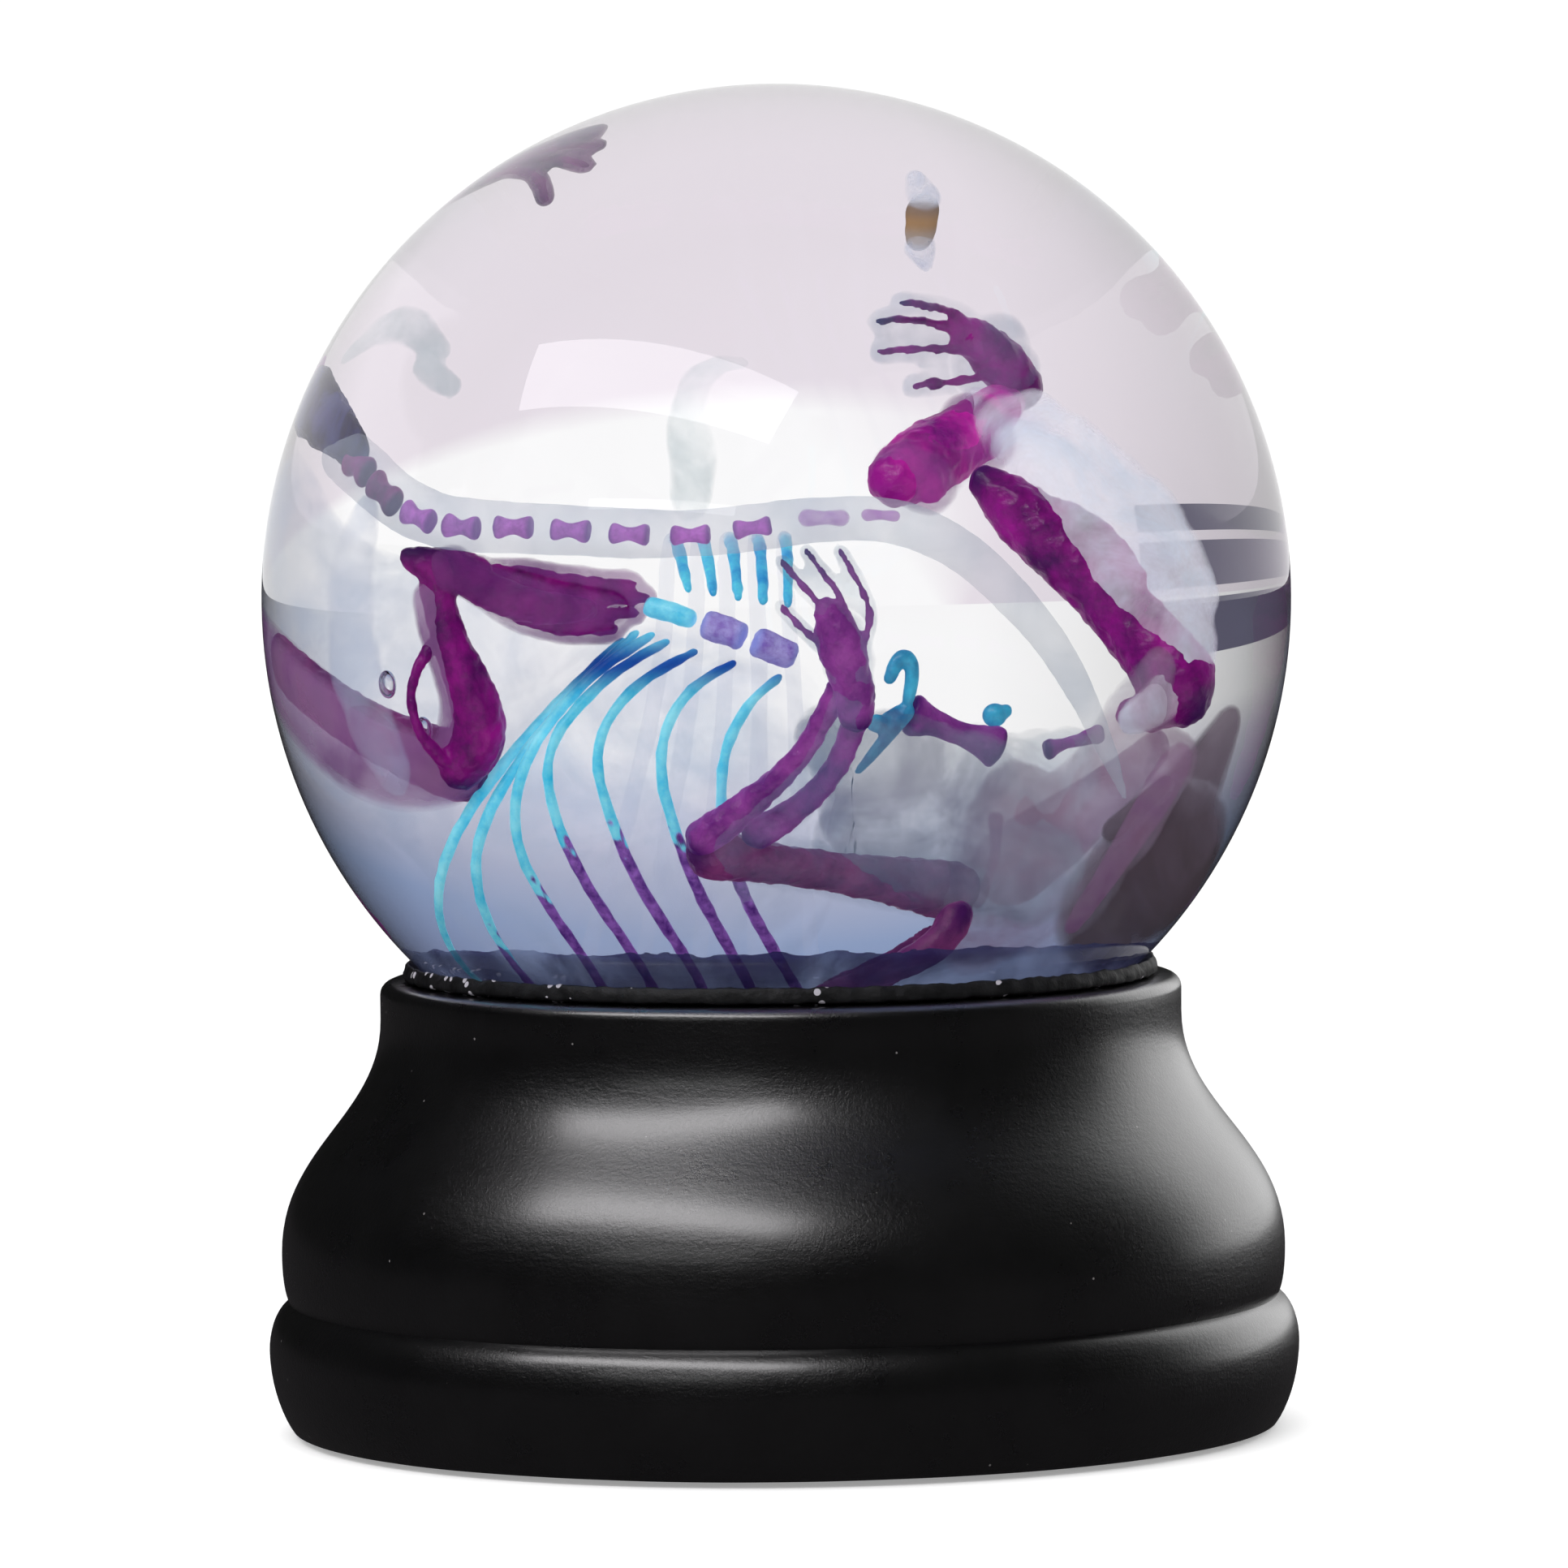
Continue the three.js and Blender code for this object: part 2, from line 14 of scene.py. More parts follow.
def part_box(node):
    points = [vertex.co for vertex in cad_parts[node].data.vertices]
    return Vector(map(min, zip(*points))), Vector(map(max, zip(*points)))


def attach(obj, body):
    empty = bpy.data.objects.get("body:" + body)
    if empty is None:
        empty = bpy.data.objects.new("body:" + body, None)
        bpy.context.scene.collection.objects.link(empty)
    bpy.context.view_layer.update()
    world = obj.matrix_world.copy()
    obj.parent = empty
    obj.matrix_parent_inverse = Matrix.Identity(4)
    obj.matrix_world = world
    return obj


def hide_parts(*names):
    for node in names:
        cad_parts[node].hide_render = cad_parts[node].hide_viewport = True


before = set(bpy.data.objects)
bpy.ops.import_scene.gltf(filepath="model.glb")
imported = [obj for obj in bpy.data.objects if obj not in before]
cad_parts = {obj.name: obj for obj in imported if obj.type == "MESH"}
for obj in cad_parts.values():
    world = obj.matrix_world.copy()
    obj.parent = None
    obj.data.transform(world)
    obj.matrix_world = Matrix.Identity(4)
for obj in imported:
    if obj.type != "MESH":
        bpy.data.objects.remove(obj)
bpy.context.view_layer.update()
MM = 0.001
print("nodes in the frame:", len(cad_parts))

# %% [markdown]
# Every place is worked out from the frame. The globe's centre is half a globe below its top, and the base's
# heights and radii are read from the boxes of the CAD nodes, so that the fine pieces land on the plain ones.

# %% Measures read from the frame
base_low, base_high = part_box("base_body")
glass_low, glass_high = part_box("glass_globe")
GLOBE_R = 50 * MM
WALL = 2 * MM
CENTRE = Vector((0, 0, glass_high.z - GLOBE_R))
RIM_Z = base_high.z
FOOT_R = base_high.x
FOOT_LOW = base_low.z
print("globe centre", tuple(round(v, 4) for v in CENTRE), "rim", round(RIM_Z, 4), "foot", round(FOOT_R, 4))


def inside(x, y, z):
    """A place in millimetres from the globe's centre, as a point in the frame."""
    return CENTRE + Vector((x, y, z)) * MM


# %% [markdown]
# The camera stands about a metre in front, a little above the globe's middle, and looks slightly down with
# a long lens. It leans a touch to one side. Its place is fixed here, before any light is judged.

# %% Camera
CAMERA_DISTANCE = 1.05
CAMERA_HEIGHT = 126.6 * MM
AIM_HEIGHT = 62.9 * MM
SIDE_STEP = 0.55 * MM
LEAN = math.radians(0.63)
LENS = 248.2

eye = Vector((SIDE_STEP, -CAMERA_DISTANCE, CAMERA_HEIGHT))
aim = Vector((SIDE_STEP, 0, AIM_HEIGHT))
camera_data = bpy.data.cameras.new("camera")
camera_data.lens = LENS
camera_data.sensor_width = 36
camera_data.clip_start = 0.01
camera = bpy.data.objects.new("camera", camera_data)
facing = (aim - eye).to_track_quat("-Z", "Y").to_matrix() @ Matrix.Rotation(-LEAN, 3, "Z")
camera.matrix_world = Matrix.Translation(eye) @ facing.to_4x4()
bpy.context.scene.collection.objects.link(camera)
bpy.context.scene.camera = camera
bpy.context.scene.view_settings.view_transform = "Standard"
print("camera at", tuple(round(v, 3) for v in eye))

# %% [markdown]
# Materials are graphs of nodes. Three small helpers keep the graphs readable: one adds a node with its values
# and links, one adds a colour ramp, and one starts a material whose surface is a Principled BSDF.

# %% Helpers for node graphs


def add(tree, kind, values=None, links=None, **settings):
    """Adds a node, sets its properties and socket values, and wires its inputs."""
    node = tree.nodes.new(kind)
    for key, value in settings.items():
        setattr(node, key, value)
    for key, value in (values or {}).items():
        node.inputs[key].default_value = value
    for key, socket in (links or {}).items():
        tree.links.new(socket, node.inputs[key])
    return node


def ramp(tree, factor, stops, smooth=False):
    """A colour ramp. Each stop is (place, colour), and a colour may be one grey number."""
    node = add(tree, "ShaderNodeValToRGB", links={"Fac": factor})
    node.color_ramp.interpolation = "EASE" if smooth else "LINEAR"
    elements = node.color_ramp.elements
    while len(elements) < len(stops):
        elements.new(0.5)
    for element, (place, colour) in zip(elements, stops):
        element.position = place
        grey = isinstance(colour, (int, float))
        element.color = (colour, colour, colour, 1) if grey else (*colour, 1)
    return node.outputs["Color"]


def finish(name, **values):
    """A new material with a Principled BSDF whose sockets have these values."""
    material = bpy.data.materials.new(name)
    material.use_nodes = True
    shader = material.node_tree.nodes["Principled BSDF"]
    for key, value in values.items():
        shader.inputs[key.replace("_", " ")].default_value = value
    return material, material.node_tree, shader


def object_place(tree, scale=(1, 1, 1), turn=(0, 0, 0)):
    """Object coordinates through a Mapping node."""
    where = add(tree, "ShaderNodeTexCoord").outputs["Object"]
    return add(tree, "ShaderNodeMapping", {"Scale": scale, "Rotation": turn}, {"Vector": where}).outputs[0]


def bump(tree, shader, height, strength, distance):
    node = add(tree, "ShaderNodeBump", {"Strength": strength, "Distance": distance}, {"Height": height})
    tree.links.new(node.outputs["Normal"], shader.inputs["Normal"])


print("node helpers ready")

# %% [markdown]
# The set is a plain pale floor under soft light. What lies behind a ball lens is seen through it upside down,
# so the surroundings are given three looks, by kind of ray. To the eye directly they are white. Through the
# glass, a grey-pink floor fills the globe's top, a bright backdrop its middle, and a dim blue-grey space its
# bottom. In gloss, they are dark in front and bright only behind on the right, which keeps the paint black.
# The world's own light sampling is switched off, because it would light the gloss with the look that is meant
# for soft rays. Each ray then finds the look of its own kind.

# %% World
world = bpy.data.worlds.new("studio")
bpy.context.scene.world = world
world.use_nodes = True
world.cycles.sampling_method = "NONE"
sky = world.node_tree
sky.nodes.clear()
direction = add(sky, "ShaderNodeSeparateXYZ", links={0: add(sky, "ShaderNodeTexCoord").outputs["Generated"]})
ray_kind = add(sky, "ShaderNodeLightPath")


def share(socket):
    """Turns a number from -1..1 into 0..1 for a ramp."""
    return add(sky, "ShaderNodeMapRange", {"From Min": -1, "From Max": 1}, {"Value": socket}).outputs[0]


def product(tree, one, other):
    """Two colours multiplied."""
    node = add(tree, "ShaderNodeMix", {"Factor": 1.0}, data_type="RGBA", blend_type="MULTIPLY")
    tree.links.new(one, node.inputs[6])
    tree.links.new(other, node.inputs[7])
    return node.outputs[2]


def chosen(tree, factor, low, high):
    """One of two shaders, by a factor of 0 or 1."""
    return add(tree, "ShaderNodeMixShader", links={0: factor, 1: low, 2: high}).outputs[0]


lens_height = ramp(sky, share(direction.outputs["Z"]), [
    (0.0, (0.3, 0.28, 0.3)), (0.49, (1, 1, 1)), (0.57, (1, 1, 1)), (0.61, (0.7, 0.7, 0.8)),
    (0.67, (0.42, 0.45, 0.6)), (0.72, (0.28, 0.36, 0.56)), (1.0, (0.12, 0.12, 0.26))])
SIDE_STOPS = [(0.0, 0.3), (0.12, 0.6), (0.3, 0.9), (0.38, 1.0), (0.8, 1.0), (0.9, 0.72), (1.0, 0.4)]
lens_side = ramp(sky, share(direction.outputs["X"]), SIDE_STOPS)
lens_depth = ramp(sky, share(direction.outputs["Y"]), [(0.0, 0.06), (0.45, 0.1), (0.62, 1.0)])
through_glass = add(sky, "ShaderNodeBackground", {"Strength": 1.0},
                    {"Color": product(sky, product(sky, lens_height, lens_side), lens_depth)})
gloss_side = ramp(sky, share(direction.outputs["X"]), [(0.0, 0.03), (0.1, 0.008), (0.56, 0.006), (0.68, 1.0)])
gloss_depth = ramp(sky, share(direction.outputs["Y"]), [(0.0, 0.006), (0.6, 0.012), (0.8, 1.0)])
in_gloss = add(sky, "ShaderNodeBackground", {"Strength": 1.1},
               {"Color": product(sky, gloss_side, gloss_depth)})
sharp_depth = ramp(sky, share(direction.outputs["Y"]), [(0.0, 0.03), (0.5, 0.1), (0.75, 0.8), (0.9, 1.0)])
in_glass_shine = add(sky, "ShaderNodeBackground", {"Strength": 1.0}, {"Color": sharp_depth})
soft_depth = ramp(sky, share(direction.outputs["Y"]), [(0.0, 0.55), (0.5, 0.7), (1.0, 1.0)])
soft = add(sky, "ShaderNodeBackground", {"Strength": 1.6}, {"Color": soft_depth})
white = add(sky, "ShaderNodeBackground", {"Color": (1, 1, 1, 1), "Strength": 1.1})
shine = chosen(sky, ray_kind.outputs["Is Singular Ray"], in_gloss.outputs[0], in_glass_shine.outputs[0])
surface = chosen(sky, ray_kind.outputs["Is Glossy Ray"], soft.outputs[0], shine)
surface = chosen(sky, ray_kind.outputs["Is Transmission Ray"], surface, through_glass.outputs[0])
surface = chosen(sky, ray_kind.outputs["Is Camera Ray"], surface, white.outputs[0])
add(sky, "ShaderNodeOutputWorld", links={"Surface": surface})
print("world has", len(sky.nodes), "nodes")

# %% [markdown]
# The floor is one wide disc. Near the base it is plain and catches a soft shadow, and further out it is pure
# white. The lens sees it glow with painted light: grey-pink, and bright beyond a line behind the base, as if
# a backdrop stood there, with painted shade darker towards the sides.
# Gloss sees it dim, so that the paint stays black where it curves under.

# %% Floor
FLOOR_R = 2.4
BACKDROP = 0.34
bpy.ops.object.select_all(action="DESELECT")
bpy.ops.mesh.primitive_circle_add(vertices=96, radius=FLOOR_R, fill_type="NGON", location=(0, 0, 0))
floor = bpy.context.object
floor.name = "floor"
floor_finish, tree, shader = finish("floor_pale", Roughness=0.8)
across = add(tree, "ShaderNodeSeparateXYZ", links={0: object_place(tree)})
ray_kind = add(tree, "ShaderNodeLightPath")
depth = add(tree, "ShaderNodeMapRange", {"From Min": BACKDROP - 0.02, "From Max": BACKDROP + 0.02},
            {"Value": across.outputs["Y"]}).outputs[0]
slant = add(tree, "ShaderNodeMath", {1: 0.22, 2: -0.075}, {0: across.outputs["Y"]}, operation="MULTIPLY_ADD")
slant = add(tree, "ShaderNodeMath", {}, {0: across.outputs["X"], 1: slant.outputs[0]}, operation="ADD")
side = add(tree, "ShaderNodeMapRange", {"From Min": -0.1, "From Max": 0.0},
           {"Value": slant.outputs[0]}).outputs[0]
bright = add(tree, "ShaderNodeMath", {}, {0: depth, 1: side}, operation="MULTIPLY").outputs[0]
reach = add(tree, "ShaderNodeVectorMath", {}, {0: object_place(tree)}, operation="LENGTH").outputs["Value"]
wide = add(tree, "ShaderNodeMath", {}, {0: across.outputs["X"], 1: reach}, operation="DIVIDE").outputs[0]
wide = add(tree, "ShaderNodeMapRange", {"From Min": -1.0, "From Max": 1.0}, {"Value": wide}).outputs[0]
# Painted shade: through the lens the floor's glow is darker towards the sides.
painted_side_shade = ramp(tree, wide, SIDE_STOPS)
floor_light = ramp(tree, bright, [(0.0, (0.84, 0.78, 0.84)), (1.0, (1.02, 1.02, 1.02))])
lens_floor = add(tree, "ShaderNodeEmission", {"Strength": 1.0},
                 {"Color": product(tree, floor_light, painted_side_shade)})
gloss_floor = add(tree, "ShaderNodeEmission", {"Color": (0.5, 0.47, 0.5, 1), "Strength": 0.045})
reach = add(tree, "ShaderNodeMapRange", {"From Min": 0.05, "From Max": 0.13}, {"Value": reach}).outputs[0]
tree.links.new(ramp(tree, reach, [(0.0, 0.72), (1.0, 0.8)]), shader.inputs["Base Color"])
pure = add(tree, "ShaderNodeEmission", {"Color": (1, 1, 1, 1), "Strength": 1.1})
bare = add(tree, "ShaderNodeBsdfDiffuse", {"Color": (0.97, 0.97, 0.97, 1)})
under = add(tree, "ShaderNodeEmission", {"Color": (1, 1, 1, 1), "Strength": 0.3})
near = add(tree, "ShaderNodeAddShader", links={0: bare.outputs[0], 1: under.outputs[0]})
direct = chosen(tree, reach, near.outputs[0], pure.outputs[0])
surface = chosen(tree, ray_kind.outputs["Is Glossy Ray"], shader.outputs[0], gloss_floor.outputs[0])
surface = chosen(tree, ray_kind.outputs["Is Transmission Ray"], surface, lens_floor.outputs[0])
surface = chosen(tree, ray_kind.outputs["Is Camera Ray"], surface, direct)
tree.links.new(surface, tree.nodes["Material Output"].inputs["Surface"])
floor.data.materials.append(floor_finish)
print("floor radius", FLOOR_R)

# %% [markdown]
# Behind on the left, three low dark cards stand for studio gear. They are kept from the camera's own rays, so
# they show only through the globe, where they give the right side its dark bands.

# %% Dark cards
CARD_PLACE = (-0.385, 0.27)
CARD_TURN = math.radians(55)
CARD_WIDTH = 0.5
CARD_SPANS = [(0.0, 0.019), (0.026, 0.058), (0.066, 0.105)]

card_finish, tree, _ = finish("card_dark")
shade = add(tree, "ShaderNodeEmission", {"Color": (0.095, 0.09, 0.135, 1), "Strength": 1.0})
tree.links.new(shade.outputs[0], tree.nodes["Material Output"].inputs["Surface"])
for number, (low, high) in enumerate(CARD_SPANS, 1):
    bpy.ops.object.select_all(action="DESELECT")
    bpy.ops.mesh.primitive_plane_add(size=1, location=(*CARD_PLACE, (low + high) / 2),
                                     rotation=(math.pi / 2, 0, CARD_TURN))
    card = bpy.context.object
    card.scale = (CARD_WIDTH, high - low, 1)
    card.name = f"dark_card_{number}"
    card.data.materials.append(card_finish)
    card.visible_camera = False
    card.visible_diffuse = False
    card.visible_glossy = False
    card.visible_shadow = False
print("cards:", len(CARD_SPANS))

# %% [markdown]
# One wide soft box hangs in front on the left, 51 degrees up. The base's shoulder curves in and out again, so
# this one lamp draws both oval highlights. The thin one on the foot's edge comes from a second, lower box.

# %% Lights
LAMP_AIM = Vector((0, 0, 0.03))


def softbox(name, azimuth, elevation, distance, size, radiance, tint=(1, 1, 1)):
    """An area lamp that looks at the base, placed by angles in degrees from the front."""
    turn, rise = math.radians(azimuth), math.radians(elevation)
    away = Vector((math.sin(turn) * math.cos(rise), -math.cos(turn) * math.cos(rise), math.sin(rise)))
    place = away * distance + LAMP_AIM
    lamp = bpy.data.lights.new(name, "AREA")
    lamp.shape = "RECTANGLE"
    lamp.size, lamp.size_y = size
    lamp.energy = radiance * math.pi * size[0] * size[1]
    lamp.color = tint
    holder = bpy.data.objects.new(name, lamp)
    facing = (LAMP_AIM - place).to_track_quat("-Z", "Y")
    holder.matrix_world = Matrix.Translation(place) @ facing.to_matrix().to_4x4()
    bpy.context.scene.collection.objects.link(holder)


softbox("upper_box", -36, 51, 0.8, (0.8, 0.2), 3.3, (1, 0.98, 1))
softbox("lower_box", -26, 25, 0.9, (0.5, 0.035), 1.6)

# %% [markdown]
# Effects that several finishes share are node groups: a mottled stain for dyed bone, a turned grain for the
# painted base, and light specks for dust. Each has named inputs, and each material gives its own values.

# %% Shared effects


def effect(name, inputs, outputs):
    """An empty node group with these sockets, given as (name, kind, value)."""
    group = bpy.data.node_groups.new(name, "ShaderNodeTree")
    for label, kind, value in inputs:
        socket = group.interface.new_socket(label, in_out="INPUT", socket_type=kind)
        if value is not None:
            socket.default_value = value
    for label, kind in outputs:
        group.interface.new_socket(label, in_out="OUTPUT", socket_type=kind)
    return group, group.nodes.new("NodeGroupInput"), group.nodes.new("NodeGroupOutput")


def use(tree, group, values=None, links=None):
    return add(tree, "ShaderNodeGroup", values, links, node_tree=group)


FLOAT, COLOUR, VECTOR = "NodeSocketFloat", "NodeSocketColor", "NodeSocketVector"

mottle, into, out = effect(
    "mottled_stain",
    [("Place", VECTOR, None), ("Scale", FLOAT, 600.0), ("Light", COLOUR, None), ("Dark", COLOUR, None)],
    [("Color", COLOUR), ("Height", FLOAT)],
)
large = add(mottle, "ShaderNodeTexNoise", {"Detail": 5.0, "Roughness": 0.65},
            {"Vector": into.outputs["Place"], "Scale": into.outputs["Scale"]})
mix = add(mottle, "ShaderNodeMix", data_type="RGBA")
mottle.links.new(ramp(mottle, large.outputs["Fac"], [(0.35, 0.0), (0.68, 1.0)]), mix.inputs[0])
mottle.links.new(into.outputs["Light"], mix.inputs[6])
mottle.links.new(into.outputs["Dark"], mix.inputs[7])
mottle.links.new(mix.outputs[2], out.inputs["Color"])
mottle.links.new(large.outputs["Fac"], out.inputs["Height"])

print("mottled stain:", len(mottle.nodes), "nodes")

# %% Light specks
specks, into, out = effect(
    "specks",
    [("Place", VECTOR, None), ("Scale", FLOAT, 900.0), ("Size", FLOAT, 0.12)],
    [("Mask", FLOAT)],
)
cells = add(specks, "ShaderNodeTexVoronoi", {"Randomness": 1.0},
            {"Vector": into.outputs["Place"], "Scale": into.outputs["Scale"]})
near_dot = add(specks, "ShaderNodeMath", {}, {0: cells.outputs["Distance"], 1: into.outputs["Size"]},
               operation="LESS_THAN")
patchy = add(specks, "ShaderNodeTexNoise", {"Scale": 140.0, "Detail": 3.0}, {"Vector": into.outputs["Place"]})
kept = add(specks, "ShaderNodeMath", {1: 0.55}, {0: patchy.outputs["Fac"]}, operation="GREATER_THAN")
mask = add(specks, "ShaderNodeMath", {}, {0: near_dot.outputs[0], 1: kept.outputs[0]}, operation="MULTIPLY")
specks.links.new(mask.outputs[0], out.inputs["Mask"])

print("specks:", len(specks.nodes), "nodes")

# %% Turned grain
turned_grain, into, out = effect(
    "turned_grain",
    [("Place", VECTOR, None), ("Fineness", FLOAT, 1.0)],
    [("Height", FLOAT), ("Wear", FLOAT)],
)
parts = add(turned_grain, "ShaderNodeSeparateXYZ", links={0: into.outputs["Place"]})
angle = add(turned_grain, "ShaderNodeMath", {}, {0: parts.outputs["Y"], 1: parts.outputs["X"]},
            operation="ARCTAN2")
slow = add(turned_grain, "ShaderNodeMath", {1: 0.012}, {0: angle.outputs[0]}, operation="MULTIPLY")
rolled = add(turned_grain, "ShaderNodeCombineXYZ", {"Y": 0.0},
             {"X": slow.outputs[0], "Z": parts.outputs["Z"]})
streak = add(turned_grain, "ShaderNodeMath", {1: 1400.0}, {0: into.outputs["Fineness"]}, operation="MULTIPLY")
lines = add(turned_grain, "ShaderNodeTexNoise", {"Detail": 4.0, "Roughness": 0.7},
            {"Vector": rolled.outputs[0], "Scale": streak.outputs[0]})
pits = add(turned_grain, "ShaderNodeTexNoise", {"Scale": 2600.0, "Detail": 3.0, "Roughness": 0.8},
           {"Vector": into.outputs["Place"]})
relief = add(turned_grain, "ShaderNodeMath", {}, {0: lines.outputs["Fac"], 1: pits.outputs["Fac"]},
             operation="ADD")
broad = add(turned_grain, "ShaderNodeTexNoise", {"Scale": 90.0, "Detail": 6.0, "Roughness": 0.7},
            {"Vector": into.outputs["Place"]})
turned_grain.links.new(relief.outputs[0], out.inputs["Height"])
turned_grain.links.new(broad.outputs["Fac"], out.inputs["Wear"])
print("shared effects:", [g.name for g in bpy.data.node_groups])

# %% [markdown]
# The base is turned wood under satin black paint. Real satin paint over wood is never an even black: the
# brush leaves fine rings, the gloss drifts, and a few pale specks of dust stay in the coat.

# %% Black satin paint
black_paint, tree, shader = finish(
    "satin_black_paint", Specular_IOR_Level=1.0, IOR=1.6, Coat_Weight=1.0, Coat_Roughness=0.24, Coat_IOR=1.9)
place = object_place(tree)
grain = use(tree, turned_grain, {"Fineness": 1.0}, {"Place": place})
dust = use(tree, specks, {"Scale": 420.0, "Size": 0.05}, {"Place": place})
ground = ramp(tree, grain.outputs["Wear"], [(0.3, (0.0015, 0.0014, 0.0022)), (0.75, (0.004, 0.0038, 0.005))])
speck_colour = add(tree, "ShaderNodeMix", data_type="RGBA")
speck_colour.inputs[7].default_value = (0.16, 0.15, 0.15, 1)
tree.links.new(dust.outputs["Mask"], speck_colour.inputs[0])
tree.links.new(ground, speck_colour.inputs[6])
tree.links.new(speck_colour.outputs[2], shader.inputs["Base Color"])
tree.links.new(ramp(tree, grain.outputs["Wear"], [(0.25, 0.24), (0.8, 0.36)]), shader.inputs["Roughness"])
bump(tree, shader, grain.outputs["Height"], 0.5, 0.00012)
print("paint ready")

# %% [markdown]
# The seal is crumbly black rubber with light crumbs in it. The stopper and its plug are plain dark rubber.
# The pad is felt with a fine nap, and the two discs are pressed board, whose chips a cell pattern draws.

# %% Rubber, felt and fibreboard
seal_rubber, tree, shader = finish("crumbly_seal", Roughness=0.55)
place = object_place(tree)
stain = use(tree, mottle,
            {"Scale": 500.0, "Light": (0.012, 0.012, 0.014, 1), "Dark": (0.003, 0.003, 0.004, 1)},
            {"Place": place})
dust = use(tree, specks, {"Scale": 780.0, "Size": 0.27}, {"Place": place})
mix = add(tree, "ShaderNodeMix", data_type="RGBA")
mix.inputs[7].default_value = (0.45, 0.43, 0.48, 1)
tree.links.new(dust.outputs["Mask"], mix.inputs[0])
tree.links.new(stain.outputs["Color"], mix.inputs[6])
tree.links.new(mix.outputs[2], shader.inputs["Base Color"])
bump(tree, shader, stain.outputs["Height"], 0.6, 0.0004)

stopper_rubber, tree, shader = finish("stopper_rubber", Roughness=0.6)
stain = use(tree, mottle, {"Scale": 300.0, "Light": (0.05, 0.05, 0.056, 1), "Dark": (0.02, 0.02, 0.024, 1)},
            {"Place": object_place(tree)})
tree.links.new(stain.outputs["Color"], shader.inputs["Base Color"])
bump(tree, shader, stain.outputs["Height"], 0.3, 0.0002)

felt, tree, shader = finish("black_felt", Roughness=0.95, Sheen_Weight=0.5, Sheen_Roughness=0.6)
fibres = add(tree, "ShaderNodeTexNoise", {"Scale": 2200.0, "Detail": 5.0, "Distortion": 1.5},
             {"Vector": object_place(tree)})
tree.links.new(ramp(tree, fibres.outputs["Fac"], [(0.3, (0.008, 0.008, 0.009)), (0.7, (0.04, 0.04, 0.043))]),
               shader.inputs["Base Color"])
bump(tree, shader, fibres.outputs["Fac"], 0.8, 0.0003)

board, tree, shader = finish("pressed_board", Roughness=0.85)
flakes = add(tree, "ShaderNodeTexVoronoi", {"Scale": 700.0}, {"Vector": object_place(tree, (1, 1, 3))})
wood = ramp(tree, flakes.outputs["Distance"], [(0.0, (0.10, 0.07, 0.045)), (0.9, (0.045, 0.03, 0.02))])
tree.links.new(wood, shader.inputs["Base Color"])
bump(tree, shader, flakes.outputs["Distance"], 0.4, 0.0002)
print("rubber, felt and board ready")

# %% [markdown]
# Glass, liquid and air bend light, and a lamp can't be sampled through a bend without noise. So for shadow
# rays each of them is simply transparent, which a Light Path node in the material itself decides. The globe's
# inner wall lies between glass and glycerin, whose indices are close, and its own index is their ratio. The
# liquid's skin lies within that wall and bends nothing, so its index is 1.

# %% Clear materials
GLASS_INDEX = 1.5
GLYCERIN_INDEX = 1.47


def clear(name, index, colour=(1, 1, 1), shade=(1, 1, 1)):
    """A smooth transmitting finish that lets shadow rays pass."""
    material, tree, shader = finish(
        name, Base_Color=(*colour, 1), IOR=index, Roughness=0.0, Transmission_Weight=1.0)
    passing = add(tree, "ShaderNodeBsdfTransparent", {"Color": (*shade, 1)})
    shadow = add(tree, "ShaderNodeLightPath").outputs["Is Shadow Ray"]
    both = add(tree, "ShaderNodeMixShader", links={0: shadow, 1: shader.outputs[0], 2: passing.outputs[0]})
    tree.links.new(both.outputs[0], tree.nodes["Material Output"].inputs["Surface"])
    return material


globe_glass = clear("globe_glass", GLASS_INDEX, shade=(0.98, 0.98, 0.98))
inner_wall = clear("glass_to_glycerin", GLASS_INDEX / GLYCERIN_INDEX)
glycerin = clear("clear_glycerin", 1.0, colour=(0.995, 0.993, 1.0))
air = clear("trapped_air", 1 / GLYCERIN_INDEX)
print("clear materials ready")

# %% [markdown]
# Round pieces are made as on a lathe: a circle is added at the first ring, and its edge is extruded and
# resized ring by ring along the outline. An outline that comes back to its start is closed by merging.

# %% The lathe
MERGE_WITHIN = 1e-6


def only(piece):
    """Leaves this piece alone selected and active, in object mode."""
    if bpy.context.object and bpy.context.object.mode != "OBJECT":
        bpy.ops.object.mode_set(mode="OBJECT")
    bpy.ops.object.select_all(action="DESELECT")
    piece.select_set(True)
    bpy.context.view_layer.objects.active = piece


def apply(piece, kind, name="step", **settings):
    """Adds a modifier, sets it and applies it."""
    only(piece)
    modifier = piece.modifiers.new(name, kind)
    for key, value in settings.items():
        setattr(modifier, key, value)
    bpy.ops.object.modifier_apply(modifier=modifier.name)


